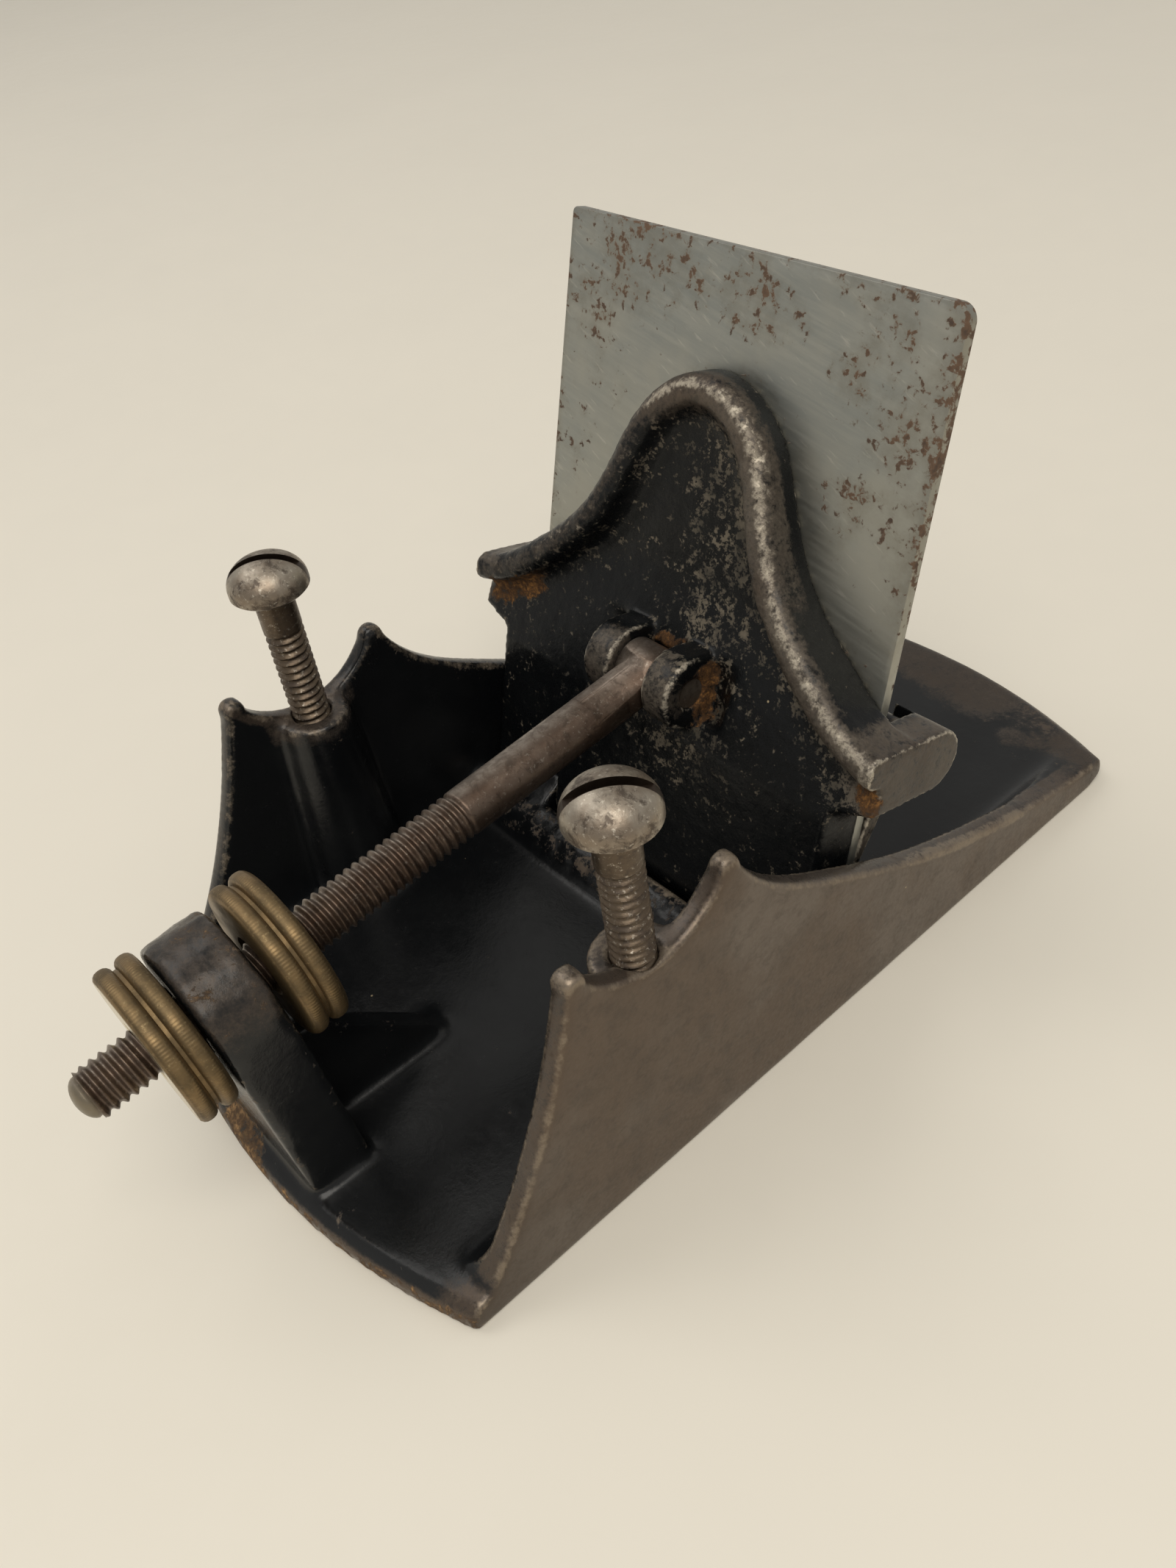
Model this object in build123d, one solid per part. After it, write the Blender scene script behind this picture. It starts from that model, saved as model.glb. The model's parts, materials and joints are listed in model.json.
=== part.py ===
import os
from math import cos, radians, sin, sqrt, tan
from build123d import *

# Sizes in millimetres. X runs across, Y forward and Z up from the sole.

# body casting
cheek_room = 2.05
sole_corner_length = 145.1
rear_end_bulge = 8.2
front_end_bulge = 8.6
sole_thickness = 4.6
sole_edge_bevel = 1.8
cheek_thickness = 3.6
inside_corner_radius = 5.0
cheek_edge_radius = 0.9
cheek_rear_shares = ((0.34, 0.255), (0.622, 0.502), (0.835, 0.751))
cheek_front_shares = ((0.069, 0.2), (0.192, 0.388), (0.39, 0.626), (0.599, 0.802), (0.797, 0.929))
horn_rise = 8.1
horn_round = 2.6
rear_horn_width = 3.6
front_horn_width = 4.0
mouth_rear_y = -0.4
mouth_front_y = 8.2
mouth_side_room = 1.0
ridge_rear_y = -11.5
ridge_height = 10.0

# seats for the handle
seat_radius = 14.2
seat_height = 41.1
seat_y = -33.4
post_top_radius = 6.0
post_base_radius = 9.0

# blade and the holder behind it
blade_lean = 16.1
blade_heel_y = 2.15
blade_width = 73.0
blade_thickness = 1.9
blade_top = 104.3
blade_lift = 0.15
blade_corner_radii = (2.4, 0.9)
holder_thickness = 8.4
bell_thickness = 3.4
bell_height = 88.0
bell_skirt_shares = ((0.174, 0.067), (0.278, 0.151), (0.417, 0.272))
bell_crown_shares = ((0.557, 0.457), (0.635, 0.642), (0.716, 0.82), (0.862, 0.96))
taper_start_s = 34.0
taper_end_s = 56.0
rim_width = 5.0
rim_round = 2.0
rim_rise = 1.9
rim_foot_o = 10.8
ear_span = 87.2
ear_s = 42.6
ear_height = 9.8
ear_slope = 2.2
ear_fillet = 1.6
ear_nose_o = -6.3
ear_root = 13.6
hook_reach = 4.0
pivot_s = 8.6
pivot_pin_radius = 2.0
pivot_lug_inner = 21.0
pivot_lug_outer = 29.0
clevis_s = 42.65
clevis_o = 9.2
clevis_width = 18.8
clevis_radius = 6.0
clevis_pin_radius = 2.4
tongue_margin = 1.6
side_pocket_width = 4.4
side_pocket_height = 9.5
side_pocket_floor_o = 4.5
pin_inset = 0.5

# adjusting rod, its nuts and the lug that carries it
rod_diameter = 7.6
rod_length = 102.4
rod_plain_length = 38.7
rod_pitch = 1.41
thread_depth = 0.6
tongue_thickness = 7.0
tongue_length = 8.0
eye_y = -74.6
eye_z = 37.1
lug_rear = -5.4
lug_front = 4.3
lug_radius = 11.3
lug_base_width = 25.0
gusset_toe_y = -45.2
gusset_height = 24.0
gusset_width = 4.2
eye_clearance = 1.0
nut_diameter = 24.3
nut_thickness = 6.0
nut_groove_depth = 1.3
nut_groove_width = 1.5
nut_edge = 0.8
nut_bore_clearance = 0.6
rear_nut_gap = 0.5
front_nut_gap = 1.7

# clamp in front of the blade
cap_lip_s = 19.4
cap_top_s = 74.0
cap_skirt_s = 35.0
cap_neck_s = 49.0
cap_gap = 3.0
cap_thickness = 4.0
cap_lip_thickness = 1.2
cap_shares = ((0.259, 0.24), (0.48, 0.56), (0.716, 0.92))
cap_boss_radius = 6.5
cap_boss_length = 6.0
trunnion_s = 43.5
trunnion_o = -5.6
trunnion_radius = 2.8
clamp_screw_s = 62.0
clamp_screw_radius = 3.0
clamp_screw_length = 17.5
knob_diameter = 19.0
knob_thickness = 6.0
knob_face = 0.8
knob_edge = 0.8

# handle screws
screw_inset = 3.85
screw_y = -34.8
screw_head_diameter = 12.4
screw_head_height = 5.6
screw_head_edge = 1.2
screw_slot_width = 1.5
screw_slot_depth = 2.2
screw_slot_turn = -35.0
screw_radius = 3.1
screw_length = 42.0
screw_neck = 4.0
screw_pitch = 1.27
screw_seat_z = 64.4

# clearances
running_clearance = 0.05
side_clearance = 0.3
free_clearance = 0.6
touch_gap = 0.05

horn_height = seat_height + horn_rise
sole_width = blade_width + 2 * (cheek_room + cheek_thickness)
half_width = sole_width / 2
half_length = sole_corner_length / 2
inner_half = half_width - cheek_thickness
pivot_o = holder_thickness / 2
holder_width = blade_width + 2 * side_clearance
trunnion_span = blade_width
cap_skirt_width = blade_width - 2 * side_clearance
screw_x = half_width - screw_inset

# Points on the holder are given as u across, s up the blade and o behind it.
blade_plane = Plane(
    origin=(0, blade_heel_y, 0),
    x_dir=(1, 0, 0),
    z_dir=(0, -cos(radians(blade_lean)), sin(radians(blade_lean))),
)
profile_plane = Plane(origin=(0, 0, 0), x_dir=(0, 0, 1), z_dir=(-1, 0, 0))


def across(face, low, high, plane=profile_plane):
    solid = extrude(plane * face, (high - low) / 2, both=True)
    return Pos((low + high) / 2, 0, 0) * solid


def cross_bar(radius, low, high, s, o):
    return Pos((low + high) / 2, s, o) * Rot(0, 90, 0) * Cylinder(radius, high - low)


def polygon(*points):
    return make_face(Polyline(*points, close=True))


def block(low_a, high_a, low_b, high_b):
    return polygon((low_a, low_b), (high_a, low_b), (high_a, high_b), (low_a, high_b))


def both_sides(solid):
    return solid + mirror(solid, Plane.YZ)


def threaded(radius, low, high, pitch):
    ridges = int((high - low) / pitch)
    crest = [(radius - thread_depth, low)]
    for i in range(ridges):
        base = low + i * pitch
        crest.append((radius, base + pitch / 2))
        crest.append((radius - thread_depth, base + pitch))
    outline = [(0, low)] + crest + [(radius - thread_depth, high), (0, high)]
    return revolve(Plane.XZ * polygon(*outline), Axis.Z)


def shaped(start, end, shares):
    span_a = end[0] - start[0]
    span_b = end[1] - start[1]
    return [(start[0] + a * span_a, start[1] + b * span_b) for a, b in shares]


def mirrored(points):
    return [(-u, s) for u, s in reversed(points)]


def at(y, z):
    return Vector(0, y, z)


pivot_point = blade_plane.from_local_coords(Vector(0, pivot_s, pivot_o))
clevis_point = blade_plane.from_local_coords(Vector(0, clevis_s, clevis_o))
rod_direction = (at(eye_y, eye_z) - clevis_point).normalized()
rod_plane = Plane(origin=clevis_point, x_dir=(1, 0, 0), z_dir=rod_direction)
eye_distance = (at(eye_y, eye_z) - clevis_point).length
rod_tip = clevis_point + rod_direction * rod_length
centre_shift = -(rod_tip.Y + half_length + front_end_bulge) / 2


def make_body():
    left_rear = (-half_width, -half_length)
    right_rear = (half_width, -half_length)
    right_front = (half_width, half_length)
    left_front = (-half_width, half_length)
    plan = make_face(
        [
            ThreePointArc(left_rear, (0, -half_length - rear_end_bulge), right_rear).edge(),
            Line(right_rear, right_front).edge(),
            ThreePointArc(right_front, (0, half_length + front_end_bulge), left_front).edge(),
            Line(left_front, left_rear).edge(),
        ]
    )
    sole = extrude(plan, sole_thickness)
    ends = sole.faces().sort_by(Axis.Z)[-1].edges().filter_by(GeomType.CIRCLE)
    sole = chamfer(ends, sole_edge_bevel)

    seat_centre = seat_height + seat_radius
    horn_z = horn_height - horn_round
    reach = sqrt(seat_radius**2 - (seat_centre - horn_z) ** 2)
    seat_rear = (seat_y - reach, horn_z)
    seat_front = (seat_y + reach, horn_z)
    rear_corner = (-half_length, 0)
    rear_start = (seat_rear[0] - rear_horn_width, horn_z)
    rear_tip = (seat_rear[0] - 0.45 * rear_horn_width, horn_height)
    front_start = (seat_front[0] + front_horn_width, horn_z)
    front_tip = (seat_front[0] + 0.47 * front_horn_width, horn_height)
    front_corner = (half_length, sole_thickness)
    rear_edge = shaped(rear_corner, rear_start, cheek_rear_shares)
    front_edge = shaped(front_start, front_corner, cheek_front_shares)
    side = make_face(
        [
            Spline(rear_corner, *rear_edge, rear_start).edge(),
            ThreePointArc(rear_start, rear_tip, seat_rear).edge(),
            ThreePointArc(seat_rear, (seat_y, seat_height), seat_front).edge(),
            ThreePointArc(seat_front, front_tip, front_start).edge(),
            Spline(front_start, *front_edge, front_corner).edge(),
            Line(front_corner, (half_length, 0)).edge(),
            Line((half_length, 0), rear_corner).edge(),
        ]
    )
    body = across(side, -half_width, half_width, Plane.YZ)
    trough = Box(2 * inner_half, 3 * sole_corner_length, 4 * horn_height)
    trough = Pos(0, 0, sole_thickness + 2 * horn_height) * trough
    corners = trough.edges().filter_by(Axis.Y).sort_by(Axis.Z)[:2]
    body = body - fillet(corners, inside_corner_radius)
    rims = [e for e in body.edges() if e.center().Z > sole_thickness]
    outer = [e for e in rims if abs(e.center().X) > half_width - cheek_thickness / 9]
    body = fillet(outer, cheek_edge_radius)
    body = body + sole

    post = Pos(screw_x, screw_y, seat_height / 2) * Cone(post_base_radius, post_top_radius, seat_height)
    post = post & (Pos(0, 0, horn_height) * Box(sole_width, sole_corner_length, 2 * horn_height))
    seat = Pos(0, seat_y, seat_centre) * Rot(0, 90, 0) * Cylinder(seat_radius, 2 * sole_width)
    body = body + both_sides(post - seat)

    root = sole_thickness * 0.8
    ridge_front = pivot_point.Y - holder_thickness / 2 - 2 * free_clearance
    hump = ridge_height - root
    ridge_top = ridge_rear_y + 0.8 * (ridge_front - ridge_rear_y)
    ridge_bend = (ridge_rear_y + 0.25 * (ridge_top - ridge_rear_y), root + 0.7 * hump)
    ridge = make_face(
        [
            ThreePointArc((ridge_rear_y, root), ridge_bend, (ridge_top, ridge_height)).edge(),
            Line((ridge_top, ridge_height), (ridge_front, ridge_height)).edge(),
            Line((ridge_front, ridge_height), (ridge_front, root)).edge(),
            Line((ridge_front, root), (ridge_rear_y, root)).edge(),
        ]
    )
    wall_mid = half_width - cheek_thickness / 2
    body = body + across(ridge, -wall_mid, wall_mid, Plane.YZ)

    mouth_half = blade_width / 2 + mouth_side_room
    mouth = block(mouth_rear_y, mouth_front_y, -sole_thickness, ridge_height)
    body = body - across(mouth, -mouth_half, mouth_half, Plane.YZ)
    foot_half = holder_width / 2 + free_clearance
    foot_room = block(ridge_front, mouth_front_y, sole_thickness, 2 * ridge_height)
    body = body - across(foot_room, -foot_half, foot_half, Plane.YZ)
    lug_r = pivot_o - 2 * side_clearance
    web = polygon(
        (ridge_top, root),
        (mouth_rear_y, root),
        (pivot_point.Y, pivot_point.Z - lug_r),
        (pivot_point.Y, pivot_point.Z + lug_r),
        (ridge_top, ridge_height),
    )
    knuckle = Plane.YZ * Pos(pivot_point.Y, pivot_point.Z) * Circle(lug_r)
    lug = across(web, pivot_lug_inner, pivot_lug_outer, Plane.YZ)
    lug = lug + Pos((pivot_lug_inner + pivot_lug_outer) / 2, 0, 0) * extrude(
        knuckle, (pivot_lug_outer - pivot_lug_inner) / 2, both=True
    )
    bore = Pos(0, pivot_point.Y, pivot_point.Z) * Rot(0, 90, 0)
    bore = bore * Cylinder(pivot_pin_radius + running_clearance, 2.1 * pivot_lug_outer)
    body = body + both_sides(lug) - bore

    foot = root - eye_z
    half_base = lug_base_width / 2
    stem = polygon((-lug_radius, 0), (lug_radius, 0), (half_base, foot), (-half_base, foot))
    eye = Circle(lug_radius) + stem - Circle(rod_diameter / 2 + eye_clearance)
    rear_lug = extrude(eye, lug_front - lug_rear)
    rear_lug = rod_plane * Pos(0, 0, eye_distance - lug_front) * rear_lug
    gusset = polygon(
        (eye_y + lug_front, root),
        (gusset_toe_y, root),
        (gusset_toe_y, sole_thickness),
        (eye_y + 2 * lug_front, gusset_height),
        (eye_y + lug_front, gusset_height),
    )
    body = body + across(gusset, -gusset_width / 2, gusset_width / 2, Plane.YZ) + rear_lug
    through = Cylinder(rod_diameter / 2 + eye_clearance, 2 * (lug_front - lug_rear))
    body = body - rod_plane * Pos(0, 0, eye_distance) * through

    floor = screw_seat_z - screw_length - screw_radius
    drill = Cylinder(screw_radius + running_clearance, horn_height - floor)
    drill = Pos(screw_x, screw_y, (horn_height + floor) / 2) * drill
    return body - both_sides(drill)


def make_holder():
    half = holder_width / 2
    ear = ear_span / 2
    ear_top = ear_s + ear_height / 2
    ear_low = ear_s - ear_height / 2
    ear_root_s = ear_low - ear_slope
    tip = (ear, ear_top)
    crown = (0, bell_height)
    right = [tip] + shaped(tip, crown, bell_skirt_shares + bell_crown_shares)
    left = mirrored(right)
    bell_edge = Spline(*right, crown, *left).edge()
    outline = make_face(
        [
            bell_edge,
            Line((-ear, ear_top), (-ear, ear_low)).edge(),
            Line((-ear, ear_low), (-half, ear_root_s)).edge(),
            Line((-half, ear_root_s), (-half, pivot_s)).edge(),
            Line((-half, pivot_s), (half, pivot_s)).edge(),
            Line((half, pivot_s), (half, ear_root_s)).edge(),
            Line((half, ear_root_s), (ear, ear_low)).edge(),
            Line((ear, ear_low), tip).edge(),
        ]
    )
    roots = [v for v in outline.vertices() if abs(v.Y - ear_root_s) < touch_gap]
    outline = fillet(roots, ear_fillet)
    plate = extrude(outline, bell_thickness)
    thick = polygon(
        (0, pivot_s),
        (holder_thickness, pivot_s),
        (holder_thickness, taper_start_s),
        (bell_thickness, taper_end_s),
        (0, taper_end_s),
    )
    plate = plate + (extrude(outline, holder_thickness) & across(thick, -ear, ear))
    plate = plate + cross_bar(pivot_o, -half, half, pivot_s, pivot_o)

    def beside(share, beyond=0.0):
        along = bell_edge.tangent_at(share)
        spot = bell_edge.position_at(share) + along * beyond
        return (spot.X - rim_width * along.Y, spot.Y + rim_width * along.X)

    inside = [beside(0, -rim_width)] + [beside(i / 12) for i in range(13)] + [beside(1, rim_width)]
    inner_edge = Spline(*inside).edge()
    inner = make_face(
        [
            inner_edge,
            Line(inside[-1], (inside[-1][0], taper_start_s)).edge(),
            Line((inside[-1][0], taper_start_s), (inside[0][0], taper_start_s)).edge(),
            Line((inside[0][0], taper_start_s), inside[0]).edge(),
        ]
    )
    band = extrude(outline, 2 * holder_thickness) - extrude(inner, 2 * holder_thickness)
    rim_low = ear_top - rim_width - rim_round
    rim_end = (bell_thickness + rim_rise, bell_height + rim_width)
    slope = polygon((0, rim_low), (rim_foot_o, rim_low), rim_end, (0, bell_height + rim_width))
    rim = band & across(slope, -ear, ear)
    crest = max((f for f in rim.faces() if f.normal_at().Z > 0.9), key=lambda f: f.area)
    round_radius = min(rim_round, 0.45 * rim_width)
    holder = plate + fillet(crest.edges().sort_by(SortBy.LENGTH)[-2:], round_radius)

    nose_low = (ear_nose_o, ear_low)
    nose_top = (ear_nose_o, ear_top)
    tab = make_face(
        [
            Line((bell_thickness, ear_top), (bell_thickness, ear_low)).edge(),
            Line((bell_thickness, ear_low), nose_low).edge(),
            ThreePointArc(nose_low, (ear_nose_o - ear_height / 2, ear_s), nose_top).edge(),
            Line(nose_top, (bell_thickness, ear_top)).edge(),
        ]
    )
    blade_room = blade_width / 2 + side_clearance
    hook_o = trunnion_o - trunnion_radius - side_clearance
    tabs = across(tab, ear - ear_root, ear)
    room = Pos(0, ear_s, hook_o / 2) * Box(2 * blade_room, 3 * ear_height, -hook_o)
    between_hooks = Box(2 * (blade_room - hook_reach), 3 * ear_height, 2 * ear_height)
    between_hooks = Pos(0, ear_s, hook_o - ear_height) * between_hooks
    holder = holder + both_sides(tabs - room - between_hooks)

    lug = Pos(clevis_o, clevis_s) * Circle(clevis_radius)
    lug = lug + polygon(
        (bell_thickness, clevis_s - clevis_radius),
        (clevis_o, clevis_s - clevis_radius),
        (clevis_o, clevis_s + clevis_radius),
        (bell_thickness, clevis_s + clevis_radius),
    )
    slot_half = tongue_thickness / 2 + side_clearance
    holder = holder + both_sides(across(lug, slot_half, clevis_width / 2))
    tongue_room = clevis_radius - tongue_margin + free_clearance
    holder = holder - cross_bar(tongue_room, -slot_half, slot_half, clevis_s, clevis_o)
    holder = holder - cross_bar(clevis_pin_radius, -clevis_width, clevis_width, clevis_s, clevis_o)

    depth = 2 * holder_thickness
    pocket = Box(side_pocket_width, side_pocket_height, depth)
    pocket_u = (clevis_width + side_pocket_width) / 2
    pocket = Pos(pocket_u, clevis_s, side_pocket_floor_o + depth / 2) * pocket
    holder = holder - both_sides(pocket)

    notch_mid = (pivot_lug_inner + pivot_lug_outer) / 2
    notch_width = pivot_lug_outer - pivot_lug_inner + 4 * side_clearance
    notch = Box(notch_width, 1.5 * holder_thickness, depth)
    holder = holder - both_sides(Pos(notch_mid, pivot_s, pivot_o) * notch)
    return holder - cross_bar(pivot_pin_radius, -ear, ear, pivot_s, pivot_o)


def make_blade():
    edge_s = (blade_lift + blade_thickness * sin(radians(blade_lean))) / cos(radians(blade_lean))
    section = polygon(
        (-blade_thickness, edge_s),
        (0, edge_s + blade_thickness),
        (0, blade_top),
        (-blade_thickness, blade_top),
    )
    blade = across(section, -blade_width / 2, blade_width / 2)
    tops = [e for e in blade.edges().filter_by(Axis.Z) if e.center().Y > blade_top - 1]
    for corner, radius in zip(sorted(tops, key=lambda e: -e.center().X), blade_corner_radii):
        match = [e for e in blade.edges().filter_by(Axis.Z) if (e.center() - corner.center()).length < 0.1]
        blade = fillet(match, radius)
    return blade


def make_cap():
    front = -blade_thickness - touch_gap
    section = polygon(
        (front, cap_lip_s),
        (front, cap_lip_s + 2 * cap_lip_thickness),
        (front - cap_gap, cap_skirt_s),
        (front - cap_gap, cap_top_s),
        (front - cap_gap - cap_thickness, cap_top_s),
        (front - cap_gap - cap_thickness, cap_skirt_s),
        (front - cap_lip_thickness, cap_lip_s),
    )
    neck = blade_width / 2 - hook_reach - free_clearance
    step_s = cap_skirt_s + free_clearance
    half = cap_skirt_width / 2
    right = [(neck, cap_neck_s)] + shaped((neck, cap_neck_s), (0, cap_top_s), cap_shares)
    left = mirrored(right)
    outline = make_face(
        [
            Spline(*right, (0, cap_top_s), *left).edge(),
            Line(left[-1], (-neck, step_s)).edge(),
            Line((-neck, step_s), (-half, cap_skirt_s)).edge(),
            Line((-half, cap_skirt_s), (-half, cap_lip_s)).edge(),
            Line((-half, cap_lip_s), (half, cap_lip_s)).edge(),
            Line((half, cap_lip_s), (half, cap_skirt_s)).edge(),
            Line((half, cap_skirt_s), (neck, step_s)).edge(),
            Line((neck, step_s), right[0]).edge(),
        ]
    )
    reach = 2 * (cap_gap + cap_thickness)
    cap = across(section, -half, half) & (Pos(0, 0, front - reach) * extrude(outline, reach))
    cap = cap + cross_bar(trunnion_radius, -trunnion_span / 2, trunnion_span / 2, trunnion_s, trunnion_o)
    boss_o = front - cap_gap - cap_boss_length / 2
    boss = Pos(0, clamp_screw_s, boss_o) * Cylinder(cap_boss_radius, cap_boss_length)
    hole = Cylinder(clamp_screw_radius + running_clearance, 3 * cap_boss_length)
    return cap + boss - Pos(0, clamp_screw_s, boss_o) * hole


def make_clamp_screw():
    tip = -blade_thickness - touch_gap
    screw = Pos(0, 0, -clamp_screw_length / 2) * Cylinder(clamp_screw_radius, clamp_screw_length)
    screw = fillet(screw.edges().sort_by(Axis.Z)[-1], 0.9 * clamp_screw_radius)
    return Pos(0, clamp_screw_s, tip) * screw


def make_knob():
    outer = -blade_thickness - touch_gap - clamp_screw_length - knob_face
    knob = Cylinder(knob_diameter / 2, knob_thickness)
    knob = chamfer(knob.edges().filter_by(GeomType.CIRCLE), knob_edge)
    hole = Cylinder(clamp_screw_radius + running_clearance, knob_thickness)
    knob = knob - Pos(0, 0, knob_face - touch_gap) * hole
    return Pos(0, clamp_screw_s, outer + knob_thickness / 2) * knob


def make_rod():
    radius = rod_diameter / 2
    eye_r = clevis_radius - tongue_margin
    thread = threaded(radius, rod_plain_length, rod_length - radius * 0.6, rod_pitch)
    plain = Pos(0, 0, rod_plain_length / 2) * Cylinder(radius, rod_plain_length)
    tip = Pos(0, 0, rod_length - radius / 2) * Cylinder(radius - thread_depth, radius)
    tip = fillet(tip.edges().sort_by(Axis.Z)[-1], radius * 0.55)
    rod = plain + thread + tip
    flat = Box(tongue_thickness, 4 * radius, 2 * tongue_length)
    keep = Pos(0, 0, rod_length / 2 + tongue_length) * Box(4 * radius, 4 * radius, rod_length)
    rod = rod & (keep + flat)
    end = Rot(0, 90, 0) * Cylinder(eye_r, tongue_thickness)
    hole = Rot(0, 90, 0) * Cylinder(clevis_pin_radius + running_clearance, 2 * tongue_thickness)
    return rod + end - hole


def make_nut():
    half = nut_thickness / 2
    rim = nut_diameter / 2
    valley = rim - nut_groove_depth
    bore = rod_diameter / 2 + nut_bore_clearance
    groove = nut_groove_width / 2
    section = polygon(
        (bore, -half),
        (rim - nut_edge, -half),
        (rim, nut_edge - half),
        (rim, -groove),
        (valley, -groove / 3),
        (valley, groove / 3),
        (rim, groove),
        (rim, half - nut_edge),
        (rim - nut_edge, half),
        (bore, half),
    )
    return revolve(Plane.XZ * section, Axis.Z)


def make_handle_screw():
    head_r = screw_head_diameter / 2
    crown = (0, screw_head_height)
    dome = make_face(
        [
            Line((0, 0), (head_r, 0)).edge(),
            Line((head_r, 0), (head_r, screw_head_edge)).edge(),
            ThreePointArc((head_r, screw_head_edge), (0.72 * head_r, 0.76 * screw_head_height), crown).edge(),
            Line(crown, (0, 0)).edge(),
        ]
    )
    head = revolve(Plane.XZ * dome, Axis.Z)
    slot = Pos(0, 0, screw_head_height) * Box(screw_slot_width, 2 * head_r, 2 * screw_slot_depth)
    neck = Pos(0, 0, -screw_neck / 2) * Cylinder(screw_radius, screw_neck)
    return head - slot + neck + threaded(screw_radius, -screw_length, -screw_neck, screw_pitch)


def on_holder(solid):
    return blade_plane * solid


def on_rod(solid, distance=0.0):
    return rod_plane * Pos(0, 0, distance) * solid


def handle_screw(x):
    return Pos(x, screw_y, screw_seat_z) * Rot(0, 0, screw_slot_turn) * make_handle_screw()


half_nut = nut_thickness / 2
pin_half = holder_width / 2 - pin_inset
rod_pin_half = clevis_width / 2 - pin_inset
nodes = {
    "body_casting": make_body(),
    "blade_holder": on_holder(make_holder()),
    "pivot_pin": on_holder(cross_bar(pivot_pin_radius, -pin_half, pin_half, pivot_s, pivot_o)),
    "blade": on_holder(make_blade()),
    "clamp_cap": on_holder(make_cap()),
    "clamp_screw": on_holder(make_clamp_screw()),
    "clamp_knob": on_holder(make_knob()),
    "adjusting_rod": on_rod(make_rod()),
    "rod_pin": on_holder(cross_bar(clevis_pin_radius, -rod_pin_half, rod_pin_half, clevis_s, clevis_o)),
    "rear_nut": on_rod(make_nut(), eye_distance - lug_rear + rear_nut_gap + half_nut),
    "front_nut": on_rod(make_nut(), eye_distance - lug_front - front_nut_gap - half_nut),
    "left_handle_screw": handle_screw(-screw_x),
    "right_handle_screw": handle_screw(screw_x),
}

os.makedirs("parts", exist_ok=True)
for name, solid in nodes.items():
    placed = Pos(0, centre_shift, 0) * solid
    export_step(placed, f"parts/{name}.step")
    print(name, round(placed.volume), "cubic mm")
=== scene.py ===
import json
import math
import bmesh
import bpy
import numpy as np
from mathutils import Matrix, Vector, noise


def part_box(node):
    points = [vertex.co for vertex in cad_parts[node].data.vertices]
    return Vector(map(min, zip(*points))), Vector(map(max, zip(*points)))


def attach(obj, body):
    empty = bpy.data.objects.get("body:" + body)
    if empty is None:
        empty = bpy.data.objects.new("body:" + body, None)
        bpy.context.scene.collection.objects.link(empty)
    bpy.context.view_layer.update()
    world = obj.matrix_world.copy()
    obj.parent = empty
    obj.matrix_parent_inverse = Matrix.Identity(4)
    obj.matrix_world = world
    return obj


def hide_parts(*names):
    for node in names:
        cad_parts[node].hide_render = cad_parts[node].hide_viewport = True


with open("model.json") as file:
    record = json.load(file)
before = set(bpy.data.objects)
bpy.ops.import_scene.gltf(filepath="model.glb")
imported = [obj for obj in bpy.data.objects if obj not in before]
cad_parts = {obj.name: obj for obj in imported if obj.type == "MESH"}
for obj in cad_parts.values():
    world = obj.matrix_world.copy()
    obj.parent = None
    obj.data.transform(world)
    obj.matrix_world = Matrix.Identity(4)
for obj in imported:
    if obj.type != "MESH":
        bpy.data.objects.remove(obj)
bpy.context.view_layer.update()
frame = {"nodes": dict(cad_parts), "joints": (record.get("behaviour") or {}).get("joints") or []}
mm = 0.001
joints = {joint["name"]: joint for joint in frame["joints"]}
collection = bpy.context.scene.collection
print("frame loaded:", len(frame["nodes"]), "nodes")


# places taken from the frame, in metres
bladeUp = Vector(joints["blade_slide"]["axis"])
bladeBack = Vector((0, -bladeUp.z, bladeUp.y))
holderPivot = Vector(joints["holder_tilt"]["pos_m"])
rodPin = Vector(joints["rod_pivot"]["pos_m"])
lugEye = Vector(joints["rear_nut_turn"]["pos_m"])
rodForward = Vector(joints["rear_nut_turn"]["axis"]).normalized()
clampAxis = Vector(joints["clamp_knob_turn"]["axis"])
holderSpan = {"pivotUp": 8.6, "pivotBehind": 4.2}
bladeHeel = holderPivot - mm * (holderSpan["pivotUp"] * bladeUp + holderSpan["pivotBehind"] * bladeBack)


# masks between 0 and 1; a band is where a soft border starts and where it ends
softCore = 0.35  # the share of a spot's reach that has full strength


def above(values, band):
    share = np.clip((values - band[0]) / (band[1] - band[0]), 0, 1)
    return share * share * (3 - 2 * share)


def below(values, band):
    return 1 - above(values, band)


def hump(values, middle, width):  # a bell curve
    return np.exp(-(((values - middle) / width) ** 2))


def between(pair, share):
    return pair[0] + (pair[1] - pair[0]) * share


def strongest(places, weights):  # the strongest of the weighted places
    return np.maximum.reduce([weight * places[name] for name, weight in weights.items()])


def nearSpot(points, centre, reach):
    away = np.linalg.norm(points - np.array(centre), axis=1)
    return below(away, (softCore * reach, reach))


def nearLines(points, runs):  # each run has a start, an end and a reach
    shares = []
    for start, end, reach in runs:
        start, end = np.array(start, float), np.array(end, float)
        run = end - start
        share = np.clip((points - start) @ run / (run @ run), 0, 1)
        away = np.linalg.norm(points - start - share[:, None] * run, axis=1)
        shares.append(below(away, (softCore * reach, reach)))
    return np.max(shares, axis=0)


def holderCoords(points):  # across, up the blade, behind it, all in mm
    offset = points - np.array(bladeHeel) / mm
    return np.stack([offset[:, 0], offset @ np.array(bladeUp), offset @ np.array(bladeBack)], axis=1)


# mesh tools
weldReach = {"cad": 0.002, "turned": 0.001}
threadForm = {"flank": 0.8, "steps": 9}  # steps along one pitch


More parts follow.
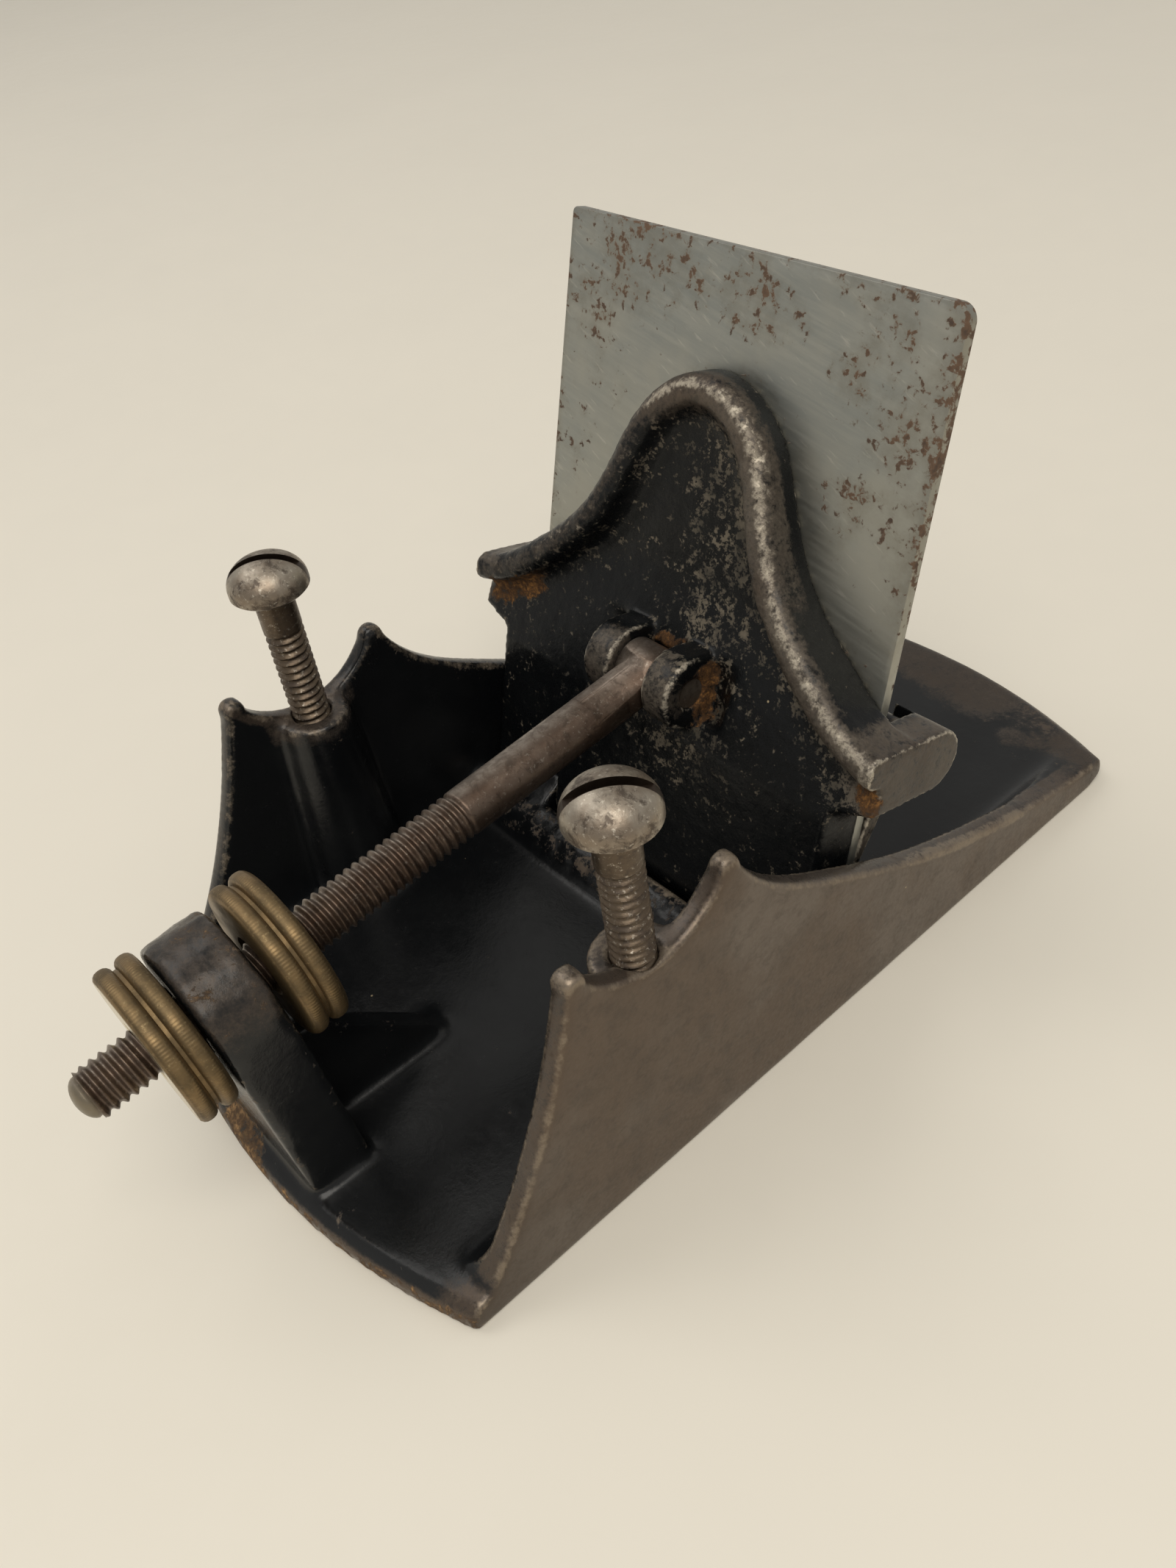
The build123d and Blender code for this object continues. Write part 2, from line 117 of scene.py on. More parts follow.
def newPiece(name, mesh, body, node, place=None):
    piece = bpy.data.objects.new(name, mesh)
    collection.objects.link(piece)
    if place is not None:
        piece.matrix_world = place
    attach(piece, body)
    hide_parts(node)
    return piece


def along(origin, axis):
    side = Vector((1, 0, 0))
    axis = axis.normalized()
    third = axis.cross(side).normalized()
    turn = Matrix((side, third, axis)).transposed().to_4x4()
    return Matrix.Translation(origin) @ turn


def settle(piece):  # swaps the mesh for its modified form
    graph = bpy.context.evaluated_depsgraph_get()
    done = bpy.data.meshes.new_from_object(piece.evaluated_get(graph))
    piece.modifiers.clear()
    piece.data = done
    return done


def reshape(mesh, work):
    shape = bmesh.new()
    shape.from_mesh(mesh)
    work(shape)
    shape.to_mesh(mesh)
    shape.free()


def everything(shape):
    return shape.verts[:] + shape.edges[:] + shape.faces[:]


def weld(shape, reach):
    bmesh.ops.remove_doubles(shape, verts=shape.verts, dist=reach * mm)


def solidCopy(node):
    mesh = frame["nodes"][node].data.copy()
    mesh.materials.clear()
    reshape(mesh, lambda shape: weld(shape, weldReach["cad"]))
    return mesh


def smoothShade(mesh, sharpDegrees):
    mesh.shade_smooth()
    mesh.set_sharp_from_angle(angle=math.radians(sharpDegrees))


def turnedMesh(name, outline, segments, cut, closed=False):  # the outline holds radius and height, in mm
    rings = np.array(outline, float)
    angles = np.linspace(0, 2 * math.pi, segments, endpoint=False)[None, :]
    height = np.repeat(rings[:, 1:2], segments, axis=1)
    radius = cut(np.repeat(rings[:, :1], segments, axis=1), height, angles)
    points = np.stack([radius * np.cos(angles), radius * np.sin(angles), height], axis=2).reshape(-1, 3)
    count = len(rings)
    ring = np.arange(count if closed else count - 1)[:, None]
    step = np.arange(segments)[None, :]
    here, after = ring * segments, (ring + 1) % count * segments
    nextStep = (step + 1) % segments
    faces = np.stack([here + step, here + nextStep, after + nextStep, after + step], axis=2).reshape(-1, 4)
    mesh = bpy.data.meshes.new(name)
    mesh.from_pydata((points * mm).tolist(), [], faces.tolist())

    def close(shape):
        weld(shape, weldReach["turned"])
        bmesh.ops.recalc_face_normals(shape, faces=shape.faces)

    reshape(mesh, close)
    return mesh


def threadShape(size, low, high):
    pitch, depth = size["pitch"], size["depth"]

    def cut(radius, height, angle):
        window = above(height, (low, low + pitch)) * below(height, (high - pitch, high))
        wave = 0.5 - 0.5 * np.cos(2 * math.pi * height / pitch - angle)
        return np.where(radius > depth, radius - depth * window * wave ** threadForm["flank"], radius)

    return cut


def fineSteps(low, high, step):
    count = max(2, int(round((high - low) / step)))
    return np.linspace(low, high, count + 1)


def threadSteps(size, low, high):
    return fineSteps(low, high, size["pitch"] / threadForm["steps"])


def arcPoints(centre, radius, startDegrees, endDegrees, count):
    turns = np.radians(np.linspace(startDegrees, endDegrees, count))
    return [(centre[0] + radius * math.cos(t), centre[1] + radius * math.sin(t)) for t in turns]


def cutAway(piece, cutterMesh, operation="DIFFERENCE"):
    cutter = bpy.data.objects.new("cutter", cutterMesh)
    collection.objects.link(cutter)
    cutter.matrix_world = piece.matrix_world.copy()
    bpy.context.view_layer.update()
    modifier = piece.modifiers.new("cut", "BOOLEAN")
    modifier.operation = operation
    modifier.solver = "EXACT"
    modifier.object = cutter
    settle(piece)
    bpy.data.objects.remove(cutter)


# castings: a soft skin over the solid, and wear, painted shade and painted highlights on its points
castPull = {"soften": 0.5, "ease": 0.5, "fill": 0.6}  # share of the way to the neighbours in a round
castPits = {"least": 0.02, "fade": 0.8, "finer": 2.1, "octaves": 4}
bendBlurs = 3


def readOut(items, key, width, kind=np.float32):
    values = np.empty(len(items) * width, kind)
    items.foreach_get(key, values)
    return values.reshape(-1, width)


def meshPoints(mesh):  # in mm
    return readOut(mesh.vertices, "co", 3).astype(float) / mm


def meshNormals(mesh):
    return readOut(mesh.vertex_normals, "vector", 3).astype(float)


def meshEdges(mesh):
    return readOut(mesh.edges, "vertices", 2, np.int32)


def putBack(mesh, points):
    mesh.vertices.foreach_set("co", (points * mm).astype(np.float32).ravel())
    mesh.update()


def neighbourMean(values, edges):
    count = len(values)
    first, second = edges.T
    total = np.bincount(first, values[second], count) + np.bincount(second, values[first], count)
    links = np.bincount(first, minlength=count) + np.bincount(second, minlength=count)
    return total / np.maximum(links, 1)


def neighbourPull(points, edges):  # from each point to the middle of its neighbours
    return np.stack([neighbourMean(places, edges) for places in points.T], axis=1) - points


def edgeBend(mesh, spacing):  # above zero on outer edges, below in corners
    edges = meshEdges(mesh)
    bend = -(neighbourPull(meshPoints(mesh), edges) * meshNormals(mesh)).sum(axis=1) / spacing
    for _ in range(bendBlurs):
        bend = 0.5 * bend + 0.5 * neighbourMean(bend, edges)
    return bend


def paint(mesh, **layers):
    for name, values in layers.items():
        layer = mesh.attributes.new(name, "FLOAT", "POINT")
        layer.data.foreach_set("value", np.clip(values, 0, 1).astype(np.float32))


def castSkin(node, name, body, skin):
    piece = newPiece(name, solidCopy(node), body, node)
    remesh = piece.modifiers.new("skin", "REMESH")
    remesh.mode = "VOXEL"
    remesh.voxel_size = skin["grain"] * mm
    soften = piece.modifiers.new("soften", "SMOOTH")
    soften.factor = castPull["soften"]
    soften.iterations = skin["softness"]
    waves = bpy.data.textures.new(name + "Waves", "CLOUDS")
    waves.noise_scale = skin["waveLength"] * mm
    ripple = piece.modifiers.new("ripple", "DISPLACE")
    ripple.texture = waves
    ripple.texture_coords = "LOCAL"
    ripple.strength = skin["waveHeight"] * mm
    mesh = settle(piece)
    mesh.shade_smooth()
    return mesh


def fillCorners(mesh, share, rounds):  # the rounded inside corners of a casting
    points, normals, edges = meshPoints(mesh), meshNormals(mesh), meshEdges(mesh)
    for _ in range(rounds):
        pull = neighbourPull(points, edges)
        hollow = (pull * normals).sum(axis=1) > 0
        points += castPull["fill"] * pull * (hollow * share)[:, None]
    putBack(mesh, points)


def easeCorners(mesh, share, rounds):  # rounds over the outer corners where share is above zero
    points, edges = meshPoints(mesh), meshEdges(mesh)
    for _ in range(rounds):
        points += castPull["ease"] * neighbourPull(points, edges) * share[:, None]
    putBack(mesh, points)


def roughen(mesh, share, rough):
    points, normals = meshPoints(mesh), meshNormals(mesh)
    for index in np.nonzero(share > castPits["least"])[0]:
        place = Vector(points[index] / rough["spot"])
        lump = noise.fractal(place, castPits["fade"], castPits["finer"], castPits["octaves"])
        points[index] += normals[index] * share[index] * rough["height"] * lump
    putBack(mesh, points)


# material tools
mixSockets = {"RGBA": (0, 6, 7, 2), "FLOAT": (0, 2, 3, 0)}  # share, first, second and result


def newLook(name):
    look = bpy.data.materials.new(name)
    look.use_nodes = True
    tree = look.node_tree
    tree.nodes.clear()
    output = tree.nodes.new("ShaderNodeOutputMaterial")
    shader = tree.nodes.new("ShaderNodeBsdfPrincipled")
    tree.links.new(shader.outputs["BSDF"], output.inputs["Surface"])
    return look, tree, shader


def feed(tree, socket, value):
    if isinstance(value, bpy.types.NodeSocket):
        tree.links.new(value, socket)
    elif isinstance(value, tuple):
        socket.default_value = (*value, 1.0)[: len(socket.default_value)]
    else:
        socket.default_value = value


def coords(tree, stretch=(1, 1, 1), turn=(0, 0, 0)):
    source = tree.nodes.new("ShaderNodeTexCoord")
    mapping = tree.nodes.new("ShaderNodeMapping")
    mapping.vector_type = "TEXTURE"
    mapping.inputs["Scale"].default_value = [1 / share for share in stretch]
    mapping.inputs["Rotation"].default_value = [math.radians(angle) for angle in turn]
    tree.links.new(source.outputs["Object"], mapping.inputs["Vector"])
    return mapping.outputs["Vector"]


def axes(tree, turn=(0, 0, 0)):
    node = tree.nodes.new("ShaderNodeSeparateXYZ")
    tree.links.new(coords(tree, turn=turn), node.inputs["Vector"])
    return node.outputs


def mottle(tree, spot, detail=5.0, roughness=0.6, stretch=(1, 1, 1), turn=(0, 0, 0), twist=0.0):  # spot in mm
    spots = tree.nodes.new("ShaderNodeTexNoise")
    spots.inputs["Scale"].default_value = 1 / (spot * mm)
    spots.inputs["Detail"].default_value = detail
    spots.inputs["Roughness"].default_value = roughness
    spots.inputs["Distortion"].default_value = twist
    tree.links.new(coords(tree, stretch, turn), spots.inputs["Vector"])
    return spots.outputs["Fac"]


def ramp(tree, value, band, start=0.0, end=1.0):
    node = tree.nodes.new("ShaderNodeMapRange")
    node.interpolation_type = "SMOOTHSTEP"
    feed(tree, node.inputs["Value"], value)
    for socket, number in zip(("From Min", "From Max", "To Min", "To Max"), (*band, start, end)):
        node.inputs[socket].default_value = number
    return node.outputs["Result"]


def metres(band):
    return [place * mm for place in band]


def sums(tree, operation, first, second=0.0, third=0.0):
    node = tree.nodes.new("ShaderNodeMath")
    node.operation = operation
    for socket, value in zip(node.inputs, (first, second, third)):
        feed(tree, socket, value)
    return node.outputs["Value"]


def blend(tree, kind, share, first, second):
    node = tree.nodes.new("ShaderNodeMix")
    node.data_type = kind
    *places, result = mixSockets[kind]
    for place, value in zip(places, (share, first, second)):
        feed(tree, node.inputs[place], value)
    return node.outputs[result]


def tint(tree, share, first, second):
    return blend(tree, "RGBA", share, first, second)


def level(tree, share, first, second):
    return blend(tree, "FLOAT", share, first, second)


def overlay(tree, colour, value, key, finish):  # lays one of the finish's colours over another
    share = ramp(tree, value, finish["bands"][key], 0.0, finish["share"][key])
    return tint(tree, share, colour, finish["colours"][key])


def painted(tree, name):
    node = tree.nodes.new("ShaderNodeAttribute")
    node.attribute_name = name
    return node.outputs["Fac"]


def relief(tree, height, depth, strength, under=None):  # depth in mm
    node = tree.nodes.new("ShaderNodeBump")
    node.inputs["Distance"].default_value = depth * mm
    node.inputs["Strength"].default_value = strength
    tree.links.new(height, node.inputs["Height"])
    if under is not None:
        tree.links.new(under, node.inputs["Normal"])
    return node.outputs["Normal"]


def specks(tree, kind):  # scattered dots
    cells = tree.nodes.new("ShaderNodeTexVoronoi")
    cells.inputs["Scale"].default_value = 1 / (kind["spacing"] * mm)
    tree.links.new(coords(tree), cells.inputs["Vector"])
    chosen = ramp(tree, cells.outputs["Color"], kind["picked"])
    border = [share * kind["size"] / kind["spacing"] for share in kind["border"]]
    dot = ramp(tree, cells.outputs["Distance"], border, 1.0, 0.0)
    return sums(tree, "MULTIPLY", chosen, dot)


# cast iron, black with japan where it isn't worn
castIron = {
    "noise": {  # spots in mm
        "fine": dict(spot=0.7, detail=5, roughness=0.7),
        "blotch": dict(spot=7.0, detail=5, roughness=0.62),
        "cloud": dict(spot=26.0, detail=4, roughness=0.55),
        "lump": dict(spot=2.2, detail=5, roughness=0.65),
    },
    "patch": dict(detail=8, roughness=0.72, twist=0.4),
    "bands": {
        "japan": (0.35, 0.7), "chip": (0.4, 0.6), "iron": (0.4, 0.6), "blotchStain": (0.42, 0.66),
        "patchStain": (0.46, 0.66), "broken": (0.0, 0.25), "rubbed": (0.12, 0.88), "glint": (0.5, 1.25),
        "rust": (0.5, 0.95), "rustReach": (0.0, 0.1), "rustGrain": (0.36, 0.6), "rustThin": (-0.05, 0.3),
        "gloss": (0.3, 0.75), "ironRough": (0.3, 0.7),
    },
    "share": {
        "thin": 0.13, "blotchStain": 0.5, "glint": 3.2, "raggedGrain": 1.2, "raggedPatch": 2.4,
        "rustThin": 0.75, "chipRough": 0.6, "rustRough": 0.9,
    },
    "relief": {  # depth in mm and strength, but the finish itself says the strength of the lumps
        "lump": 0.16, "fine": (0.06, 0.5), "flake": (0.06, 0.6), "grit": (0.3, 0.8),
    },
    "dust": {"spacing": 6.0, "size": 0.45, "picked": (0.72, 0.74), "border": (0.3, 0.5)},
}
japanned = {
    "japan": (0.0042, 0.0047, 0.0054), "japanPale": (0.0085, 0.0092, 0.0098), "dust": (0.36, 0.29, 0.18),
    "iron": (0.155, 0.128, 0.106), "ironBrown": (0.125, 0.094, 0.071), "ironDark": (0.075, 0.06, 0.048),
    "ironBright": (0.36, 0.295, 0.22), "chip": (0.05, 0.038, 0.028), "chipPale": (0.095, 0.072, 0.052),
    "rust": (0.36, 0.215, 0.095), "rustDark": (0.085, 0.05, 0.026), "patch": 3.0, "fineShare": 0.35,
    "chipping": (0.63, 0.69), "breakup": 1.6, "stain": 0.5, "spark": 0.55, "metal": 0.75, "shine": 0.36,
    "lumps": 0.3, "gloss": (0.14, 0.3), "ironRough": (0.3, 0.46),
}
oldHolder = dict(
    japanned, japan=(0.0032, 0.0037, 0.0042), japanPale=(0.006, 0.0066, 0.007),
    iron=(0.16, 0.135, 0.108), ironBrown=(0.12, 0.092, 0.07), ironDark=(0.06, 0.05, 0.042),
    ironBright=(0.58, 0.52, 0.42), chip=(0.055, 0.048, 0.037), chipPale=(0.13, 0.11, 0.082),
    rust=(0.26, 0.122, 0.036), rustDark=(0.055, 0.028, 0.013), patch=2.4, fineShare=0.4,
    chipping=(0.585, 0.63), breakup=2.6, stain=0.75, spark=0.9, metal=0.6, shine=0.22,
    lumps=0.7, gloss=(0.2, 0.4), ironRough=(0.36, 0.54),
)


def castLook(name, colours):
    look, tree, shader = newLook(name)
    bands, share, depth = (castIron[part] for part in ("bands", "share", "relief"))
    fine, blotch, cloud, lump = (mottle(tree, **kind) for kind in castIron["noise"].values())
    patch = mottle(tree, colours["patch"], **castIron["patch"])
    bare, edge, thin, rust, dim = (painted(tree, layer) for layer in ("bare", "edge", "thin", "rust", "dim"))
    grain = level(tree, colours["fineShare"], patch, fine)
    uneven = sums(tree, "SUBTRACT", grain, 0.5)

    # black japan, chipped in small flakes
    japan = tint(tree, ramp(tree, cloud, bands["japan"]), colours["japan"], colours["japanPale"])
    weak = sums(tree, "MULTIPLY_ADD", thin, share["thin"], grain)
    chipped = ramp(tree, weak, colours["chipping"])
    chip = tint(tree, ramp(tree, blotch, bands["chip"]), colours["chip"], colours["chipPale"])
    colour = tint(tree, chipped, japan, chip)

    # iron rubbed bare with soft borders, and bright on its edges: worn metal, partly a painted highlight
    iron = tint(tree, ramp(tree, cloud, bands["iron"]), colours["iron"], colours["ironBrown"])
    stain = colours["stain"]
    blotched = ramp(tree, blotch, bands["blotchStain"], 0.0, share["blotchStain"] * stain)
    # dim darkens the iron: painted shade towards the cheeks' rear, and darker worn patches
    for darker in (blotched, ramp(tree, patch, bands["patchStain"], 0.0, stain), dim):
        iron = tint(tree, darker, iron, colours["ironDark"])
    broken = sums(tree, "MULTIPLY", uneven, ramp(tree, bare, bands["broken"], 0.0, colours["breakup"]))
    rubbed = ramp(tree, sums(tree, "ADD", bare, broken), bands["rubbed"])
    colour = tint(tree, rubbed, colour, iron)
    edgeWearAndHighlight = sums(tree, "MULTIPLY_ADD", uneven, share["glint"], edge)
    glint = ramp(tree, edgeWearAndHighlight, bands["glint"], 0.0, colours["spark"])
    colour = tint(tree, glint, colour, colours["ironBright"])

    # rust with ragged borders, and dust
    ragged = sums(tree, "MULTIPLY_ADD", patch, share["raggedPatch"], -0.5 * share["raggedPatch"])
    ragged = sums(tree, "MULTIPLY_ADD", uneven, share["raggedGrain"], ragged)
    rusty = ramp(tree, sums(tree, "ADD", rust, ragged), bands["rust"])
    rusty = sums(tree, "MULTIPLY", rusty, ramp(tree, rust, bands["rustReach"]))
    rustColour = tint(tree, ramp(tree, fine, bands["rustGrain"]), colours["rust"], colours["rustDark"])
    thinRust = ramp(tree, ragged, bands["rustThin"], share["rustThin"], 0.0)
    rustColour = tint(tree, thinRust, rustColour, colours["rustDark"])
    colour = tint(tree, rusty, colour, rustColour)
    dust = specks(tree, castIron["dust"])
    feed(tree, shader.inputs["Base Color"], tint(tree, dust, colour, colours["dust"]))

    metal = sums(tree, "MAXIMUM", sums(tree, "MULTIPLY", rubbed, colours["metal"]), glint)
    clean = sums(tree, "SUBTRACT", 1.0, sums(tree, "MAXIMUM", rusty, dust))
    feed(tree, shader.inputs["Metallic"], sums(tree, "MULTIPLY", metal, clean))
    rough = level(tree, chipped, ramp(tree, patch, bands["gloss"], *colours["gloss"]), share["chipRough"])
    rough = level(tree, rubbed, rough, ramp(tree, fine, bands["ironRough"], *colours["ironRough"]))
    feed(tree, shader.inputs["Roughness"], level(tree, rusty, rough, share["rustRough"]))
    shader.inputs["Specular IOR Level"].default_value = colours["shine"]

    surface = relief(tree, lump, depth["lump"], colours["lumps"])
    surface = relief(tree, fine, *depth["fine"], surface)
    surface = relief(tree, sums(tree, "SUBTRACT", 1.0, chipped), *depth["flake"], surface)
    grit = sums(tree, "MULTIPLY", rusty, fine)
    feed(tree, shader.inputs["Normal"], relief(tree, grit, *depth["grit"], surface))
    return look


# the blade's steel, drawn lengthwise and specked with rust
scraperSteel = {
    "colours": {
        "steel": (0.375, 0.37, 0.325), "steelCool": (0.31, 0.322, 0.3), "drawn": (0.43, 0.424, 0.378),
        "scratch": (0.56, 0.54, 0.48), "stain": (0.22, 0.205, 0.165), "halo": (0.2, 0.16, 0.12),
        "rust": (0.125, 0.074, 0.044), "rustDark": (0.06, 0.04, 0.028),
    },
    "noise": {
        "cloud": dict(spot=22.0, detail=4, roughness=0.6),
        "clump": dict(spot=4.0, detail=4, roughness=0.65),
        "speck": dict(spot=1.5, detail=4, roughness=0.6, twist=0.3),
        "drawn": dict(spot=1.3, detail=5, roughness=0.75, stretch=(0.04, 1.0, 1.0), turn=(0, 12, 0)),
        "scratch": dict(spot=0.7, detail=3, roughness=0.6, stretch=(0.025, 1.0, 1.0), turn=(0, 27, 0)),
    },
    "bands": {
        "steel": (0.38, 0.62), "drawn": (0.35, 0.7), "scratch": (0.62, 0.7), "stain": (0.6, 1.05),
        "halo": (0.62, 0.68), "rust": (0.65, 0.69), "rustDark": (0.5, 0.75), "rough": (0.3, 0.7),
    },
    "share": {
        "drawn": 0.5, "scratch": 0.4, "stain": 0.5, "borderStain": 0.35, "brinkStain": 0.25, "clump": 0.35,
        "borderRust": 0.115, "brinkRust": 0.05, "halo": 0.45, "metal": 0.88, "rustMetal": -0.8,
        "rustRough": 0.85,
    },
    "rough": (0.32, 0.46),
    "relief": {"drawn": (0.02, 0.3), "rust": (0.05, 0.6)},
}


def bladeLook(finish):
    look, tree, shader = newLook("scraperSteel")
    colours, bands, share, depth = (finish[part] for part in ("colours", "bands", "share", "relief"))
    cloud, clump, speck, drawn, scratch = (mottle(tree, **kind) for kind in finish["noise"].values())
    border, brink = painted(tree, "border"), painted(tree, "brink")
    steel = tint(tree, ramp(tree, cloud, bands["steel"]), colours["steel"], colours["steelCool"])
    steel = overlay(tree, steel, drawn, "drawn", finish)
    steel = overlay(tree, steel, scratch, "scratch", finish)
    stained = sums(tree, "MULTIPLY_ADD", brink, share["brinkStain"], clump)
    stained = sums(tree, "MULTIPLY_ADD", border, share["borderStain"], stained)
    steel = overlay(tree, steel, stained, "stain", finish)
    rusty = level(tree, share["clump"], speck, clump)
    rusty = sums(tree, "MULTIPLY_ADD", border, share["borderRust"], rusty)
    rusty = sums(tree, "MULTIPLY_ADD", brink, share["brinkRust"], rusty)
    colour = overlay(tree, steel, rusty, "halo", finish)
    rusty = ramp(tree, rusty, bands["rust"])
    rust = tint(tree, ramp(tree, speck, bands["rustDark"]), colours["rust"], colours["rustDark"])
    feed(tree, shader.inputs["Base Color"], tint(tree, rusty, colour, rust))
    metal = sums(tree, "MULTIPLY_ADD", rusty, share["rustMetal"], share["metal"])
    feed(tree, shader.inputs["Metallic"], metal)
    rough = ramp(tree, drawn, bands["rough"], *finish["rough"])
    feed(tree, shader.inputs["Roughness"], level(tree, rusty, rough, share["rustRough"]))
    grain = relief(tree, drawn, *depth["drawn"])
    feed(tree, shader.inputs["Normal"], relief(tree, rusty, *depth["rust"], grain))
    return look


# the steel of the rod, the pins and the screws
plainSteel = {
    "noise": {
        "cloud": dict(spot=6.0, detail=4, roughness=0.6),
        "fine": dict(spot=0.6, detail=6, roughness=0.7),
        "patch": dict(spot=1.9, detail=6, roughness=0.7, twist=0.4),
    },
    "bands": {
        "base": (0.38, 0.62), "tarnish": (0.48, 0.64), "glint": (0.56, 0.7), "film": (0.3, 0.6),
        "rough": (0.3, 0.7),
    },
    "relief": {"pits": (0.09, 0.6), "fine": (0.05, 0.5)},
}
rodSteel = {
    "base": (0.124, 0.09, 0.068), "brown": (0.088, 0.058, 0.041), "dark": (0.036, 0.025, 0.018),
    "bright": (0.36, 0.32, 0.27), "tarnish": 0.6, "glint": 0.45, "metal": 0.78, "rough": (0.3, 0.46),
}
threadedSteel = dict(
    rodSteel, tip=(0.22, 0.19, 0.14), tipPlace=(99.9, 101.1), tipShare=0.9,
    film=(0.34, 0.3, 0.255), filmShare=(0.85, 0.3),
)
screwSteel = {
    "base": (0.345, 0.305, 0.25), "brown": (0.23, 0.186, 0.142), "dark": (0.075, 0.058, 0.046),
    "bright": (0.68, 0.62, 0.52), "tarnish": 0.85, "glint": 0.6, "metal": 0.82, "rough": (0.3, 0.5),
    "shank": (0.115, 0.086, 0.06), "shankTop": (-1.2, 0.2), "slotDark": (0.042, 0.03, 0.022),
}
screwSlot = {"width": 1.5, "depth": 2.2, "turn": -35, "slotDarkRim": (0.01, 0.09), "slotDarkFloor": (0.2, 0.4)}
pinSteel = dict(
    rodSteel, base=(0.2, 0.17, 0.14), brown=(0.13, 0.1, 0.075), bright=(0.4, 0.36, 0.31), tarnish=0.5,
)


def steelLook(name, colours):
    look, tree, shader = newLook(name)
    bands, depth = plainSteel["bands"], plainSteel["relief"]
    cloud, fine, patch = (mottle(tree, **kind) for kind in plainSteel["noise"].values())
    colour = tint(tree, ramp(tree, cloud, bands["base"]), colours["base"], colours["brown"])
    if "shank" in colours:  # the stem below a screw's head is browner
        shank = ramp(tree, axes(tree)["Z"], metres(colours["shankTop"]), 1.0, 0.0)
        colour = tint(tree, shank, colour, colours["shank"])
    colour = tint(tree, ramp(tree, patch, bands["tarnish"], 0.0, colours["tarnish"]), colour, colours["dark"])
    colour = tint(tree, ramp(tree, fine, bands["glint"], 0.0, colours["glint"]), colour, colours["bright"])
    if "slotDark" in colours:  # the slot of a screw's head is darker inside
        place = axes(tree, turn=(0, 0, screwSlot["turn"]))
        rim = metres(screwSlot["width"] / 2 + border for border in screwSlot["slotDarkRim"])
        slotDark = ramp(tree, sums(tree, "ABSOLUTE", place["X"]), rim, 1.0, 0.0)
        slotDark = sums(tree, "MULTIPLY", slotDark, ramp(tree, place["Z"], metres(screwSlot["slotDarkFloor"])))
        colour = tint(tree, slotDark, colour, colours["slotDark"])
    if "tip" in colours:  # the rod's rounded end is paler
        tip = ramp(tree, axes(tree)["Z"], metres(colours["tipPlace"]), 0.0, colours["tipShare"])
        colour = tint(tree, tip, colour, colours["tip"])
    if "film" in colours:  # a painted sheen on the rod's upper left side
        film = ramp(tree, patch, bands["film"], *colours["filmShare"])
        colour = tint(tree, sums(tree, "MULTIPLY", painted(tree, "film"), film), colour, colours["film"])
    feed(tree, shader.inputs["Base Color"], colour)
    shader.inputs["Metallic"].default_value = colours["metal"]
    feed(tree, shader.inputs["Roughness"], ramp(tree, patch, bands["rough"], *colours["rough"]))
    pits = relief(tree, patch, *depth["pits"])
    feed(tree, shader.inputs["Normal"], relief(tree, fine, *depth["fine"], pits))
    return look


# aged brass with marks of the lathe
agedBrass = {
    "colours": {
        "brass": (0.222, 0.152, 0.075), "olive": (0.138, 0.098, 0.051), "rings": (0.055, 0.039, 0.022),
        "glint": (0.42, 0.32, 0.17), "face": (0.68, 0.6, 0.43),
    },
    "noise": {
        "cloud": dict(spot=5.0, detail=4, roughness=0.6),
        "fine": dict(spot=0.5, detail=5, roughness=0.7),
    },
    "lathe": {"spacing": 0.28, "detail": 3.0},
    "bands": {
        "base": (0.38, 0.62), "rings": (0.5, 0.75), "glint": (0.56, 0.7), "face": (0.0, 1.0),
        "rough": (0.3, 0.7),
    },
    "share": {"rings": 0.4, "glint": 0.45, "face": 0.85},
    "metal": 0.85, "rough": (0.4, 0.56), "faceRough": 0.22,
    "relief": {"rings": (0.03, 0.5), "fine": (0.03, 0.5)},
}


def brassLook(finish):
    look, tree, shader = newLook("agedBrass")
    colours, bands, depth = (finish[part] for part in ("colours", "bands", "relief"))
    cloud, fine = (mottle(tree, **kind) for kind in finish["noise"].values())
    place = axes(tree)
    square = sums(tree, "MULTIPLY", place["Y"], place["Y"])
    square = sums(tree, "MULTIPLY_ADD", place["X"], place["X"], square)
    lathe = tree.nodes.new("ShaderNodeTexNoise")
    lathe.noise_dimensions = "1D"
    lathe.inputs["Scale"].default_value = 1 / (finish["lathe"]["spacing"] * mm)
    lathe.inputs["Detail"].default_value = finish["lathe"]["detail"]
    tree.links.new(sums(tree, "SQRT", square), lathe.inputs["W"])
    rings = lathe.outputs["Fac"]
    colour = tint(tree, ramp(tree, cloud, bands["base"]), colours["brass"], colours["olive"])
    # the flat outer face of a nut is smoother, and painted pale as a reflection of the floor
    face = painted(tree, "face")
    for key, value in (("rings", rings), ("glint", fine), ("face", face)):
        colour = overlay(tree, colour, value, key, finish)
    feed(tree, shader.inputs["Base Color"], colour)
    shader.inputs["Metallic"].default_value = finish["metal"]
    rough = ramp(tree, cloud, bands["rough"], *finish["rough"])
    feed(tree, shader.inputs["Roughness"], level(tree, face, rough, finish["faceRough"]))
    turned = relief(tree, rings, *depth["rings"])
    feed(tree, shader.inputs["Normal"], relief(tree, fine, *depth["fine"], turned))
    return look


bodyFinish = castLook("japannedBody", japanned)
holderFinish = castLook("japannedHolder", oldHolder)
bladeFinish = bladeLook(scraperSteel)
rodFinish = steelLook("rodSteel", threadedSteel)
screwFinish = steelLook("screwSteel", screwSteel)
pinFinish = steelLook("pinSteel", pinSteel)
brassFinish = brassLook(agedBrass)
print("finishes ready")


